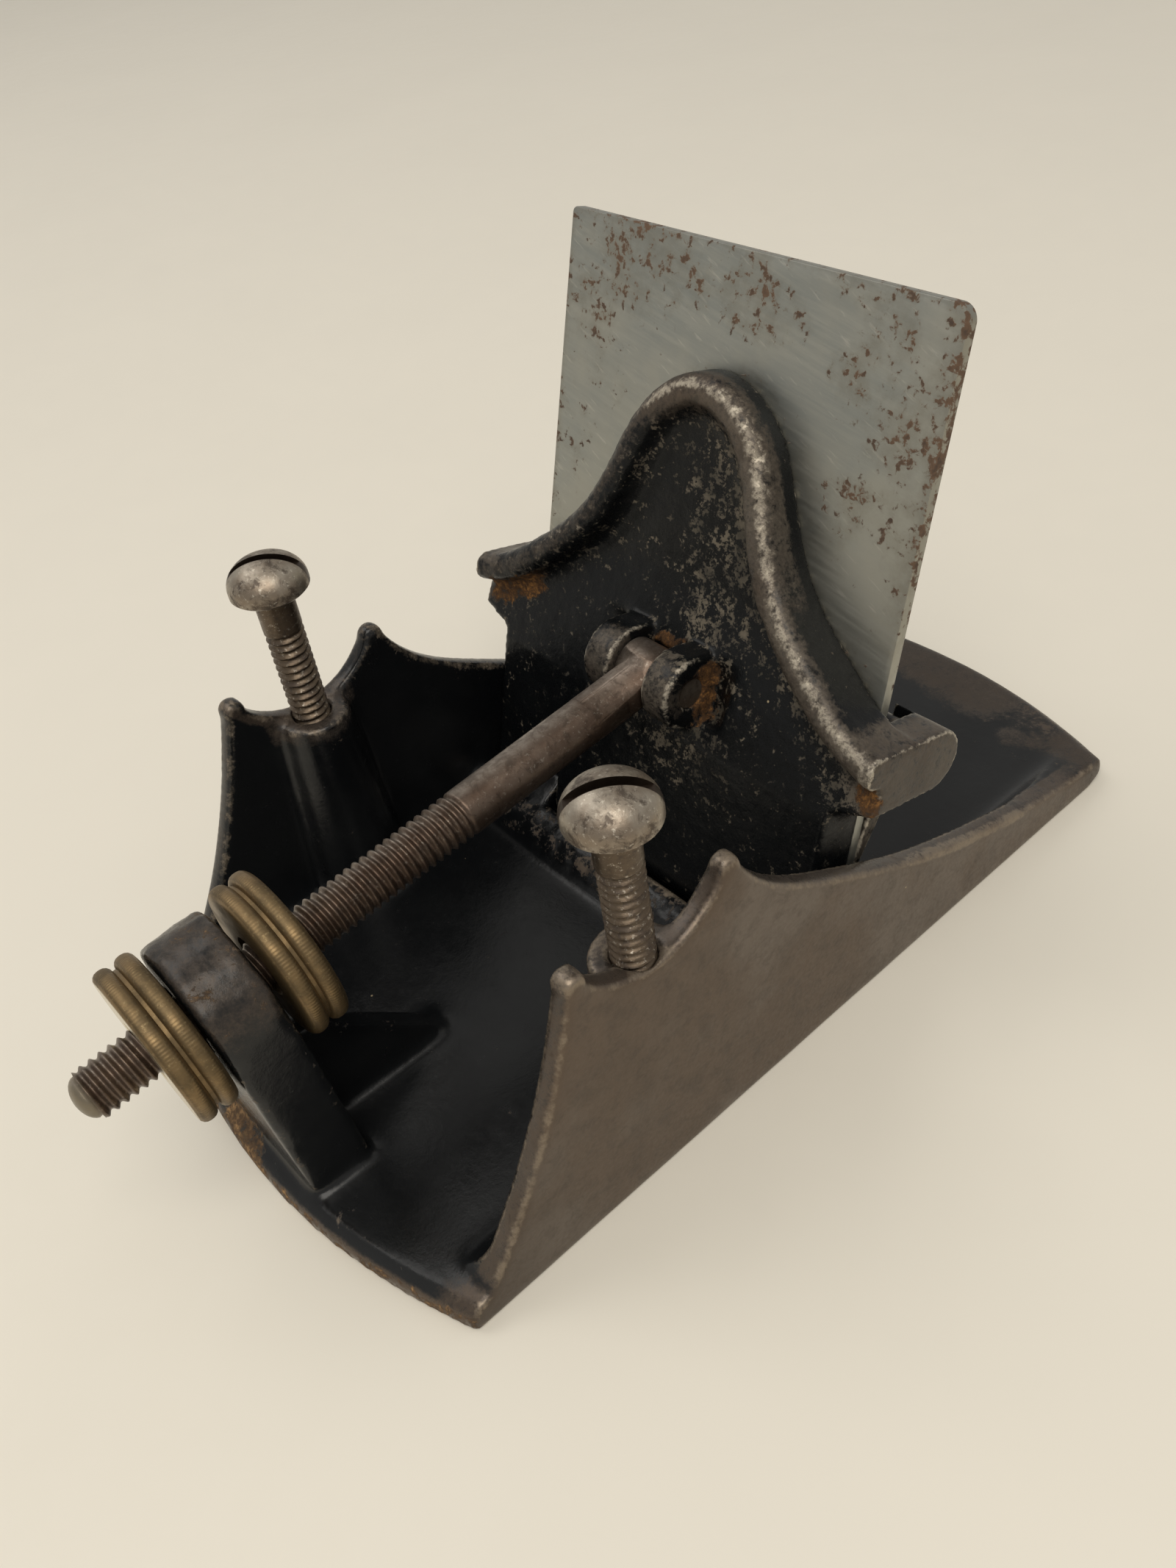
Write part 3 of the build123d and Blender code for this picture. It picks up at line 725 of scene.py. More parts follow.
# body casting, in mm
bodyCasting = {
    "skin": {"grain": 0.6, "softness": 6, "waveLength": 14, "waveHeight": 0.14, "cornerRounds": 22},
    "size": {
        "cheek": 3.6, "sole": 4.6, "lugRadius": 11.3, "eyeRadius": 4.8, "frontBulge": 8.6, "rearBulge": 8.2,
        "bossTop": 41.1, "bossRadius": 7.5, "ridgeRear": 12.0, "ridgeFront": 5.4, "ridgeTop": 10.0,
        "seatRadius": 14.2, "hornAhead": 13.1, "hornTop": 49.2,
    },
    "ease": {  # corners that are rounded over
        "frontTip": {"reach": 5.0, "rounds": 26}, "horn": {"reach": 4.5, "rounds": 14},
        "webToe": {"spot": (0, -38.2, 5.6), "reach": 6.0, "rounds": 16}, "crown": {"rounds": 10},
    },
    "rough": {"ridge": {"spot": 2.6, "height": 0.22}, "lug": {"spot": 2.6, "height": 0.13}},
    "runs": {  # start, end and reach
        "rust": (((-9, -71.5, 4.6), (-2, -72.5, 4.6), 4.0), ((-40.9, -32.4, 34), (-40.9, -32.4, 21), 1.8)),
        "worn": (((-12, 87, 4.6), (15, 83, 4.6), 12.0), ((36, 79, 4.6), (43, 78, 4.6), 7.0)),
        "scuffs": (((26, 74.5, 4.6), (36, 78.5, 4.6), 4.0),),
        # a bright line along the right cheek's top edge: worn metal, partly a painted highlight
        "shine": (((41.8, 26, 20.3), (41.8, 40, 12.9), 2.2), ((41.8, 40, 12.9), (41.8, 55, 8.0), 2.2)),
    },
    "bands": {
        "crownIn": (-2.4, -1.2), "crownOut": (0.5, 1.5), "crownRise": (-4, 2), "eyeBore": (0.6, 1.6),
        "screwBore": (4, 5), "pivotBore": (4.5, 6), "ridgeRear": (-1, 1), "ridgeFront": (-1, 0),
        "ridgeFoot": (0.4, 2), "ridgeTop": (0.6, 1.6), "ridgeEnds": (0.5, 3), "lugIn": (-1.2, -0.5),
        "lugOut": (0.3, 1.2), "lugRise": (-2, 5), "deck": (1, 2.5), "outside": (0.4, 0.9),
        "outward": (0.1, 0.5), "rim": (-0.2, 0.4), "rimOutward": (-0.6, -0.2), "rimLift": (0, 1.5),
        "under": (0.3, 0.8), "frontEnd": (1.6, 2.6), "rearEnd": (0.3, 1.5), "rearFace": (2.6, 4.2),
        "cornerSide": (2, 10), "cornerRear": (2.5, 7), "cornerTop": (7, 10), "bossRise": (-4, -1.5),
        "bossOut": (0, 1.5), "rightSide": (-5, 5), "rearShade": (4, 34), "seat": (0.5, 1.1),
        "seatSide": (30, 34), "front": (2, 15), "webSide": (4, 5), "webRear": (6, 8),
        "webFront": (-20, -16), "stemSide": (13, 15), "stemFront": (6, 9), "stemLift": (1, 3),
        "edge": (0.015, 0.08), "shine": (0.0, 0.04), "bent": (0.0, 0.05),
    },
    "sides": {"rim": (0.28, 0.58), "boss": (0.36, 0.56), "edge": (0.7, 0.95)},  # on the left and on the right; the brighter edges on the right are partly a painted highlight
    "spared": {"outside": 0.25, "web": 0.8, "rearEnd": 0.6, "lugStem": 0.5},
    "wear": {
        "bare": {
            "outside": 1.0, "rim": 1.0, "under": 1.0, "boss": 1.0, "frontEnd": 0.6, "rearEnd": 0.8,
            "corner": 0.55, "lugTop": 0.46, "seat": 0.52, "worn": 0.66, "scuffs": 0.4, "front": 0.36,
        },
        "edge": {"edge": 1.0, "shine": 1.5},
        "thin": {"front": 0.9, "ridge": 0.9, "bent": 0.5},
        "rust": {"rust": 1.0, "lugTop": 0.25, "rearEnd": 0.75},
        "dim": {"shaded": 0.75, "worn": 0.85, "lugTop": 0.6},
    },
}


def fromEnd(points, end, bulge, half):  # how far a point lies inside a bulging end of the sole
    radius = (half**2 + bulge**2) / (2 * abs(bulge))
    centre = end - math.copysign(radius, bulge)
    return radius - np.hypot(points[:, 0], points[:, 1] - centre)


def makeBody():
    skin, size, ease, bands = (bodyCasting[part] for part in ("skin", "size", "ease", "bands"))
    sides, spared = bodyCasting["sides"], bodyCasting["spared"]
    low, high = (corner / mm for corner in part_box("body_casting"))
    mesh = castSkin("body_casting", "bodyCasting", "body", skin)
    screws = [np.array(joints[name]["pos_m"][:2]) / mm for name in ("left_screw_turn", "right_screw_turn")]
    eye, pivot, forward = np.array(lugEye) / mm, np.array(holderPivot) / mm, np.array(rodForward)

    def fromAxes(points):  # distances to the rod's axis and the nearer handle screw's axis
        fromEye = points - eye
        rod = np.linalg.norm(fromEye - np.outer(fromEye @ forward, forward), axis=1)
        screw = np.min([np.hypot(*(points[:, :2] - place).T) for place in screws], axis=0)
        return rod, screw

    def lugBand(rod, inner, outer):
        return above(rod - size["lugRadius"], bands[inner]) * below(rod - size["lugRadius"], bands[outer])

    # round over the tips of the sole, the horns, the web's toe and the lug's crown
    points = meshPoints(mesh)
    frontTip = (high.x, high.y - size["frontBulge"], size["sole"] / 2)
    horn = (high.x - size["cheek"] / 2, screws[0][1] + size["hornAhead"], size["hornTop"])
    spots = {"frontTip": frontTip, "horn": horn, "webToe": ease["webToe"]["spot"]}
    for name, (across, length, height) in spots.items():
        kind = ease[name]
        pair = [nearSpot(points, (side * across, length, height), kind["reach"]) for side in (-1, 1)]
        easeCorners(mesh, np.max(pair, axis=0), kind["rounds"])
    rod, screw = fromAxes(points)
    crown = lugBand(rod, "crownIn", "crownOut") * above(points[:, 2] - eye[2], bands["crownRise"])
    easeCorners(mesh, crown, ease["crown"]["rounds"])

    # fill the inside corners, away from the bores
    points = meshPoints(mesh)
    rod, screw = fromAxes(points)
    bore = np.minimum(above(rod - size["eyeRadius"], bands["eyeBore"]), above(screw, bands["screwBore"]))
    pivotGap = np.hypot(points[:, 1] - pivot[1], points[:, 2] - pivot[2])
    fillCorners(mesh, bore * above(pivotGap, bands["pivotBore"]), skin["cornerRounds"])

    # roughen the cross ridge and the lug's crown
    points = meshPoints(mesh)
    across, length, height = points.T
    ahead = length - pivot[1]
    ridge = above(ahead + size["ridgeRear"], bands["ridgeRear"])
    ridge = ridge * below(ahead + size["ridgeFront"], bands["ridgeFront"])
    ridge = ridge * above(height - size["sole"], bands["ridgeFoot"])
    ridge = ridge * below(height - size["ridgeTop"], bands["ridgeTop"])
    ridge = ridge * above(high.x - np.abs(across) - size["cheek"], bands["ridgeEnds"])
    roughen(mesh, ridge, bodyCasting["rough"]["ridge"])
    rod, screw = fromAxes(points)
    lugTop = lugBand(rod, "lugIn", "lugOut") * above(height - eye[2], bands["lugRise"])
    roughen(mesh, lugTop, bodyCasting["rough"]["lug"])

    # find the worn places, and the painted shade towards the cheeks' rear
    points = meshPoints(mesh)
    across, length, height = points.T
    bend = edgeBend(mesh, skin["grain"])
    outward = meshNormals(mesh)[:, 0] * np.sign(across)
    side = np.abs(across)
    inset, lift = high.x - side, height - size["sole"]
    ahead, fromLug = length - pivot[1], length - eye[1]
    frontGap = fromEnd(points, high.y, size["frontBulge"], high.x)
    rearGap = fromEnd(points, low.y, -size["rearBulge"], high.x)
    deck = below(lift, bands["deck"])
    rightSide = above(across, bands["rightSide"])
    # painted shade: the outer cheeks darker and less bare towards the rear
    rearShade = below(length - low.y, bands["rearShade"])
    outside = below(inset, bands["outside"]) * above(outward, bands["outward"])
    rim = below(inset - size["cheek"], bands["rim"]) * above(outward, bands["rimOutward"])
    boss = below(screw - size["bossRadius"], bands["bossOut"])
    boss = boss * above(height - size["bossTop"], bands["bossRise"])
    corner = below(inset, bands["cornerSide"]) * below(rearGap, bands["cornerRear"])
    seatTop = size["bossTop"] + size["seatRadius"]
    fromSeat = np.hypot(length - screws[0][1], height - seatTop) - size["seatRadius"]
    web = below(side, bands["webSide"]) * above(fromLug, bands["webRear"]) * below(ahead, bands["webFront"])
    lugStem = below(side, bands["stemSide"]) * below(fromLug, bands["stemFront"])
    lugStem = lugStem * above(lift, bands["stemLift"])
    rearEnd = below(rearGap, bands["rearEnd"]) * below(height, bands["rearFace"])
    edge = above(bend, bands["edge"]) * between(sides["edge"], rightSide) * (1 - spared["web"] * web)
    runs = {name: nearLines(points, lines) for name, lines in bodyCasting["runs"].items()}
    places = {
        "outside": outside * (1 - spared["outside"] * rearShade),
        "rim": rim * above(lift, bands["rimLift"]) * between(sides["rim"], rightSide),
        "under": below(height, bands["under"]),
        "boss": boss * between(sides["boss"], rightSide),
        "frontEnd": below(frontGap, bands["frontEnd"]) * deck,
        "rearEnd": rearEnd,
        "corner": corner * below(height, bands["cornerTop"]),
        "lugTop": lugTop,
        "seat": below(np.abs(fromSeat), bands["seat"]) * above(side, bands["seatSide"]),
        "worn": runs["worn"] * deck,
        "scuffs": runs["scuffs"] * deck,
        "front": below(frontGap, bands["front"]) * deck,
        "edge": edge * (1 - spared["rearEnd"] * rearEnd) * (1 - spared["lugStem"] * lugStem),
        "shine": runs["shine"] * above(bend, bands["shine"]),
        "ridge": ridge,
        "bent": above(bend, bands["bent"]),
        "rust": runs["rust"],
        "shaded": rearShade * outside,
    }
    paint(mesh, **{layer: strongest(places, weights) for layer, weights in bodyCasting["wear"].items()})
    mesh.materials.append(bodyFinish)


makeBody()
print("body casting done")


# blade holder and the clamp cap in front of the blade, in mm
bladeHolder = {
    "skin": {"grain": 0.5, "softness": 6, "waveLength": 10, "waveHeight": 0.16, "cornerRounds": 70},
    "size": {
        "foot": 8.4, "bell": 3.4, "taperStart": 34, "taperEnd": 56, "clevisUp": 42.65, "clevisSpread": 1.1,
        "ear": 43.6,
    },
    "fan": {"centre": 30.0, "start": 15.0, "step": 1.5, "count": 100},  # degrees, seen from the centre
    "lipRounds": 22,
    "rough": {"spot": 2.4, "height": 0.14, "backShare": 0.25},
    "rust": (  # from, to and reach, as across, up the blade and behind it
        ((-40, 41.5, 7.5), (-32, 46, 6), 4.4), ((8.8, 38.5, 6.5), (9.4, 45.5, 6.5), 3.6),
        ((9, 44, 8), (9, 41, 6), 3.4), ((-1.5, 46.5, 6), (2.5, 47, 6), 2.6),
        ((42.8, 39, 7.5), (41.4, 41, 7.5), 3.0),
    ),
    "bands": {
        "rim": (0.8, 2.0), "rimClevis": (11.5, 13), "back": (1.0, 2.0), "backClevis": (9, 12),
        "backRise": (16, 20), "lip": (1.0, 2.4), "lipSide": (31, 35), "facing": (-0.05, 0.3),
        "onBack": (2, 3), "right": (-8, 4), "top": (76, 84), "wall": (0.8, 2), "wallBehind": (1.8, 3.6),
        "wallRise": (56, 66), "earEnd": (0.3, 0.9), "earSide": (36.5, 39), "earRise": (45, 47),
        "lugs": (8, 10), "lugsBehind": (9, 12), "footSide": (32, 34.5), "footRise": (36, 38),
        "edge": (0.025, 0.1), "rightHalf": (-6, 8), "middleRise": (20, 30), "rust": (0.5, 1.5),
    },
    "humps": {"crest": (1.6, 1.2), "chips": (6, 5), "middle": (7, 12)},  # place and width
    "slope": {"place": 2.2, "outer": (1.8, 3.0), "inner": (2.2, 4.6)},  # widths left, then right and top
    "sides": {  # the weaker side, then the stronger
        "slope": (0.38, 0.72), "crest": (0.45, 0.81), "chips": (0.35, 0.95), "edge": (0.72, 0.92),
    },
    "wear": {
        "bare": {"slope": 1.0, "wall": 0.5, "earEnd": 0.6, "earTop": 0.6, "lugs": 0.46},
        "edge": {"edge": 1.0, "crest": 1.0},
        "thin": {"onBack": 0.12, "chips": 1.0, "middle": 0.72},
        "rust": {"rust": 1.0},
        "dim": {"earEnd": 0.35},
    },
}
clampCap = {
    "skin": dict(bladeHolder["skin"], softness=4, grain=0.45),
    "bare": (34.5, 36), "bareShare": 0.55, "edge": (0.03, 0.10), "thin": (60, 14), "thinShare": 0.6,
}


def fanOutline(across, rise):  # the holder's upper outline, as corners
    fan = bladeHolder["fan"]
    reach = np.hypot(across, rise - fan["centre"])
    angle = np.degrees(np.arctan2(rise - fan["centre"], across))
    place = np.clip((angle - fan["start"]) / fan["step"], 0, fan["count"] - 1).astype(int)
    furthest = np.zeros(fan["count"])
    np.maximum.at(furthest, place, reach)
    turns = np.radians(fan["start"] + fan["step"] * (np.arange(fan["count"]) + 0.5))
    return np.stack([furthest * np.cos(turns), furthest * np.sin(turns) + fan["centre"]], axis=1)


def outlineGap(across, rise, corners):  # how far a point lies from that outline
    gap = np.full(len(across), np.inf)
    for (startAcross, startRise), (endAcross, endRise) in zip(corners[:-1], corners[1:]):
        runAcross, runRise = endAcross - startAcross, endRise - startRise
        share = (across - startAcross) * runAcross + (rise - startRise) * runRise
        share = np.clip(share / (runAcross**2 + runRise**2), 0, 1)
        away = np.hypot(across - startAcross - share * runAcross, rise - startRise - share * runRise)
        gap = np.minimum(gap, away)
    return gap


def makeHolder():  # gives back the outline for the blade's wear
    skin, size, bands, sides = (bladeHolder[part] for part in ("skin", "size", "bands", "sides"))
    rough, humps, slopes = (bladeHolder[part] for part in ("rough", "humps", "slope"))
    mesh = castSkin("blade_holder", "bladeHolder", "holder", skin)

    def fromClevis(across, rise):
        return np.hypot(across / size["clevisSpread"], rise - size["clevisUp"])

    # fill the corners, then round and roughen the rim
    across, rise, behind = holderCoords(meshPoints(mesh)).T
    clevis = fromClevis(across, rise)
    plate = np.interp(rise, (size["taperStart"], size["taperEnd"]), (size["foot"], size["bell"]))
    rim = above(behind - plate, bands["rim"]) * above(clevis, bands["rimClevis"])
    back = above(behind, bands["back"]) * above(clevis, bands["backClevis"]) * above(rise, bands["backRise"])
    fillCorners(mesh, back, skin["cornerRounds"])
    gap = outlineGap(across, rise, fanOutline(across, rise))
    lip = rim * below(gap, bands["lip"]) * below(np.abs(across), bands["lipSide"])
    easeCorners(mesh, lip, bladeHolder["lipRounds"])
    roughen(mesh, np.maximum(rim, rough["backShare"] * back), rough)

    # find the worn places, and the painted highlight on the rim's crest
    local = holderCoords(meshPoints(mesh))
    across, rise, behind = local.T
    clevis, side = fromClevis(across, rise), np.abs(across)
    bend = edgeBend(mesh, skin["grain"])
    corners = fanOutline(across, rise)
    gap = outlineGap(across, rise, corners)
    onBack = above(meshNormals(mesh) @ np.array(bladeBack), bands["facing"]) * above(behind, bands["onBack"])
    rightOrTop = np.maximum(above(across, bands["right"]), above(rise, bands["top"]))
    outer, inner = (between(slopes[part], rightOrTop) for part in ("outer", "inner"))
    slope = hump(gap, slopes["place"], np.where(gap < slopes["place"], outer, inner)) * onBack
    # the rim's crest is painted bright, more on the right and the top: worn metal, partly a painted highlight
    crest = hump(gap, *humps["crest"]) * onBack
    wall = below(gap, bands["wall"]) * above(behind, bands["wallBehind"]) * above(rise, bands["wallRise"])
    earEnd = below(size["ear"] - side, bands["earEnd"])
    footSide = above(side, bands["footSide"]) * below(rise, bands["footRise"])
    chips = hump(gap, *humps["chips"]) * between(sides["chips"], above(across, bands["rightHalf"]))
    middle = hump(across, *humps["middle"]) * above(rise, bands["middleRise"])
    places = {
        "slope": slope * between(sides["slope"], rightOrTop),
        "wall": wall * rightOrTop,
        "earEnd": earEnd,
        "earTop": above(side, bands["earSide"]) * above(rise, bands["earRise"]),
        "lugs": below(clevis, bands["lugs"]) * above(behind, bands["lugsBehind"]),
        "edge": above(bend, bands["edge"]) * (1 - footSide) * between(sides["edge"], earEnd),
        "crest": crest * between(sides["crest"], rightOrTop),
        "onBack": onBack,
        "chips": chips * onBack,
        "middle": middle * onBack,
        "rust": nearLines(local, bladeHolder["rust"]) * above(behind, bands["rust"]),
    }
    paint(mesh, **{layer: strongest(places, weights) for layer, weights in bladeHolder["wear"].items()})
    mesh.materials.append(holderFinish)
    return corners


def makeCap():
    cap = clampCap
    mesh = castSkin("clamp_cap", "clampCap", "cap", cap["skin"])
    across, rise = holderCoords(meshPoints(mesh)).T[:2]
    paint(
        mesh,
        bare=cap["bareShare"] * above(np.abs(across), cap["bare"]),
        edge=above(edgeBend(mesh, cap["skin"]["grain"]), cap["edge"]),
        thin=cap["thinShare"] * hump(rise, *cap["thin"]),
    )
    mesh.materials.append(holderFinish)


holderOutline = makeHolder()
makeCap()
print("holder and cap done")


# blade, in mm
scraperBlade = {
    "sheet": {
        "halfWidth": 36.5, "top": 104.3, "edgeBreak": 0.18, "edgeSteps": 2, "flat": 1, "sharp": 30,
        "cell": 1.5, "lastCell": 0.3,
    },
    "wear": {
        "right": (1.5, 6.5), "rightRise": (50, 75), "left": (0, 9), "leftShare": 0.45, "top": (0, 12),
        "topShare": 0.5, "brink": (0, 1.6), "besideBell": (0.3, 2.6), "clumpSpread": 1.6,
    },
    "clumps": (  # rust: across, up the blade, reach and strength
        (24, 75, 5, 1.0), (30.5, 76, 4, 0.9), (31, 88, 6, 1.0), (21, 92, 4, 1.0), (26, 98.5, 5, 0.9),
        (2, 98.5, 6, 1.0), (9, 97, 4, 0.8), (-10, 99, 5, 0.9), (-22, 99, 8, 1.0), (-31, 91, 6, 0.9),
        (-33, 70, 6, 0.6), (-26, 82, 6, 0.5),
    ),
}


def makeBlade():
    sheet, wear = scraperBlade["sheet"], scraperBlade["wear"]
    mesh = solidCopy("blade")
    flat = math.radians(sheet["flat"])
    reshape(mesh, lambda shape: bmesh.ops.dissolve_limit(
        shape, angle_limit=flat, verts=shape.verts, edges=shape.edges
    ))
    piece = newPiece("scraperBlade", mesh, "blade", "blade")
    soften = piece.modifiers.new("edges", "BEVEL")
    soften.width = sheet["edgeBreak"] * mm
    soften.segments = sheet["edgeSteps"]
    soften.limit_method = "ANGLE"
    soften.angle_limit = math.radians(sheet["sharp"])
    mesh = settle(piece)

    def addPoints(shape):  # across the wide flat faces
        step = sheet["cell"] * mm
        for direction in (Vector((1, 0, 0)), bladeUp):
            reach = [vertex.co.dot(direction) for vertex in shape.verts]
            for place in np.arange(min(reach) + step, max(reach) - sheet["lastCell"] * step, step):
                plane = {"plane_co": direction * place, "plane_no": direction}
                bmesh.ops.bisect_plane(shape, geom=everything(shape), **plane)

    reshape(mesh, addPoints)
    smoothShade(mesh, sheet["sharp"])
    spots = holderCoords(meshPoints(mesh))[:, :2]
    across, rise = spots.T
    fromTop = sheet["top"] - rise
    right = below(sheet["halfWidth"] - across, wear["right"]) * above(rise, wear["rightRise"])
    left = wear["leftShare"] * below(across + sheet["halfWidth"], wear["left"])
    top = wear["topShare"] * below(fromTop, wear["top"])
    brink = below(np.minimum(sheet["halfWidth"] - np.abs(across), fromTop), wear["brink"])
    besideBell = below(outlineGap(across, rise, holderOutline), wear["besideBell"])
    clumps = [
        strength * nearSpot(spots, (clumpAcross, clumpRise), wear["clumpSpread"] * reach)
        for clumpAcross, clumpRise, reach, strength in scraperBlade["clumps"]
    ]
    border = np.maximum.reduce([right, left, top, *clumps])
    paint(mesh, brink=np.maximum(brink, besideBell), border=border)
    mesh.materials.append(bladeFinish)


makeBlade()
print("blade done")


# adjusting rod, in mm from its pin towards the rear
rodSize = {
    "radius": 3.8, "inset": 0.03, "tongueEnd": 14.0, "overlap": 1.5, "plain": 38.7, "plainStep": 3,
    "end": 102.4, "pitch": 1.41, "depth": 0.62, "fineStart": 1.0, "seam": 0.5, "threadStart": 0.6,
    "threadGap": 0.1, "runOut": 0.35, "dome": 1.9, "domeTurn": 86, "domeSteps": 8, "segments": 40,
    "sharp": 50, "film": {"side": -0.6, "up": 0.8, "band": (0.45, 0.95)},
}


def makeRod():
    size, film = rodSize, rodSize["film"]
    place = along(rodPin, -rodForward)
    mesh = solidCopy("adjusting_rod")
    mesh.transform(place.inverted())

    def keepTongue(shape):
        plane = {"plane_co": (0, 0, size["tongueEnd"] * mm), "plane_no": (0, 0, 1)}
        cut = bmesh.ops.bisect_plane(shape, geom=everything(shape), clear_outer=True, **plane)
        rim = [item for item in cut["geom_cut"] if isinstance(item, bmesh.types.BMEdge)]
        bmesh.ops.holes_fill(shape, edges=rim)

    reshape(mesh, keepTongue)
    piece = newPiece("adjustingRod", mesh, "rod", "adjusting_rod", place)
    core, tip = size["radius"] - size["inset"], size["radius"] - size["depth"]
    start, shoulder = size["plain"] - size["fineStart"], size["end"] - size["dome"]
    inside = size["tongueEnd"] - size["overlap"]
    plainSteps = fineSteps(size["tongueEnd"], start - size["seam"], size["plainStep"])
    steps = [*plainSteps, *threadSteps(size, start, shoulder - size["threadGap"])]
    dome = arcPoints((0, 0), 1, 0, size["domeTurn"], size["domeSteps"])
    outline = [(0, inside), (core, inside)] + [(core, step) for step in steps]
    outline += [(tip * out, shoulder + size["dome"] * rise) for out, rise in dome] + [(0, size["end"])]
    threadEnd = shoulder + size["runOut"] * size["pitch"]
    thread = threadShape(size, size["plain"] - size["threadStart"], threadEnd)
    cutAway(piece, turnedMesh("rodThread", outline, size["segments"], thread), "UNION")
    mesh = piece.data
    smoothShade(mesh, size["sharp"])
    # painted sheen where the rod faces up and to the left
    normals = meshNormals(mesh)
    facing = film["up"] * normals[:, 1] + film["side"] * normals[:, 0]
    paint(mesh, film=above(facing, film["band"]))
    mesh.materials.clear()
    mesh.materials.append(rodFinish)


makeRod()
print("rod done")


# brass nuts and the clamp's knob, in mm
nutSize = {
    "radius": 12.15, "half": 3.0, "bore": 4.4, "chamfer": 0.5, "valley": 11.0, "valleyShare": 1 / 3,
    "groove": 0.5, "round": 1.2, "grooveRound": 1.15, "teeth": 150, "knurl": 0.04, "faceDepth": 0.02,
}
knobSize = {
    "radius": 9.5, "half": 3.0, "hole": 3.05, "floor": 0.75, "round": 0.8, "dish": 0.25, "dishRadius": 4.5,
    "dishRim": 5.0, "teeth": 110, "knurl": 0.12,
}
knurlForm = {"toothSteps": 4, "top": -0.2, "beadSteps": 5, "sharp": 32}


def knurlShape(size):
    def cut(radius, height, angle):
        rim = above(radius - size["radius"], (-size["round"], knurlForm["top"]))
        tooth = 0.5 - 0.5 * np.cos(size["teeth"] * angle)
        return radius - size["knurl"] * rim * tooth

    return cut


def knurledMesh(name, outline, size, closed=False):
    mesh = turnedMesh(name, outline, size["teeth"] * knurlForm["toothSteps"], knurlShape(size), closed)
    smoothShade(mesh, knurlForm["sharp"])
    mesh.materials.append(brassFinish)
    return mesh


def beadOutline(size, low, high, lowRound, highRound):  # one band of the rim
    rim, steps = size["radius"], knurlForm["beadSteps"]
    start = arcPoints((rim - lowRound, low + lowRound), lowRound, -90, 0, steps)
    return start + arcPoints((rim - highRound, high - highRound), highRound, 0, 90, steps)


def boxCentre(node):
    low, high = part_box(node)
    return (low + high) / 2


def makeNut(name, node, body, outward):
    size = nutSize
    half, groove, bore = size["half"], size["groove"] / 2, size["bore"]
    mouth, throat = bore + size["chamfer"], half - size["chamfer"]
    outline = [(mouth, -half)] + beadOutline(size, -half, -groove, size["round"], size["grooveRound"])
    outline += [(size["valley"], side * size["valleyShare"] * groove) for side in (-1, 1)]
    outline += beadOutline(size, groove, half, size["grooveRound"], size["round"])
    outline += [(mouth, half), (bore, throat), (bore, -throat)]
    mesh = knurledMesh(name, outline, size, closed=True)
    paint(mesh, face=outward * meshPoints(mesh)[:, 2] > half - size["faceDepth"])
    newPiece(name, mesh, body, node, along(boxCentre(node), rodForward))


def makeKnob():
    size = knobSize
    outer = size["half"]
    dish, floor = outer - size["dish"], outer - size["floor"]
    outline = [(0, dish), (size["dishRadius"], dish), (size["dishRim"], outer)]
    outline += [(r, -z) for r, z in beadOutline(size, -outer, outer, size["round"], size["round"])]
    outline += [(size["hole"], -outer), (size["hole"], floor), (0, floor)]
    mesh = knurledMesh("clampKnob", outline, size)
    place = along(boxCentre("clamp_knob"), clampAxis)
    newPiece("clampKnob", mesh, "clamp_knob", "clamp_knob", place)


makeNut("rearNut", "rear_nut", "rear_nut", -1)
makeNut("frontNut", "front_nut", "front_nut", 1)
makeKnob()
print("brass done")


# screws, in mm
screwSize = {
    "radius": 3.1, "length": 42.0, "neck": 6.5, "pitch": 1.34, "depth": 0.55, "tipTaper": 0.6,
    "underHead": 0.4, "head": 6.2, "headHeight": 5.6, "headEdge": 1.2, "headChamfer": 0.35,
    "headSteps": 14, "slotRun": 2.4, "segments": 48, "sharp": 42,
}
clampScrewSize = {
    "radius": 3.0, "length": 17.5, "pitch": 1.27, "depth": 0.5, "tipRound": 2.6, "tipSteps": 7, "seam": 0.3,
    "endTaper": 0.4, "up": 62.0, "ahead": 1.95, "segments": 40, "sharp": 50,
}


def boxMesh(name, size, centre):
    mesh = bpy.data.meshes.new(name)
    shape = bmesh.new()
    bmesh.ops.create_cube(shape, size=1)
    bmesh.ops.scale(shape, vec=Vector(size) * mm, verts=shape.verts)
    bmesh.ops.translate(shape, vec=Vector(centre) * mm, verts=shape.verts)
    shape.to_mesh(mesh)
    shape.free()
    return mesh


def makeHandleScrew(name, node, body, joint):
    size = screwSize
    stem, head, top, end = size["radius"], size["head"], size["headHeight"], -size["length"]
    seat = Vector((joint["pos_m"][0], joint["pos_m"][1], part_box(node)[1].z - top * mm))
    outline = [(0, end), (stem - size["depth"] - size["tipTaper"], end)]
    outline += [(stem, step) for step in threadSteps(size, size["tipTaper"] + end, -size["neck"])]
    outline += [(stem, -size["underHead"]), (stem + size["underHead"], 0)]
    outline += [(head - size["headChamfer"], 0), (head, size["headChamfer"])]
    for turn in np.radians(np.linspace(0, 90, size["headSteps"]))[:-1]:
        outline.append((head * math.cos(turn), between((size["headEdge"], top), math.sin(turn))))
    outline.append((0, top))
    thread = threadShape(size, end - size["pitch"], -size["neck"])
    mesh = turnedMesh(name, outline, size["segments"], thread)
    piece = newPiece(name, mesh, body, node, Matrix.Translation(seat))
    slot = (screwSlot["width"], size["slotRun"] * head, 2 * screwSlot["depth"])
    cutter = boxMesh("slot", slot, (0, 0, top))
    cutter.transform(Matrix.Rotation(math.radians(screwSlot["turn"]), 4, "Z"))
    cutAway(piece, cutter)
    smoothShade(piece.data, size["sharp"])
    piece.data.materials.clear()
    piece.data.materials.append(screwFinish)


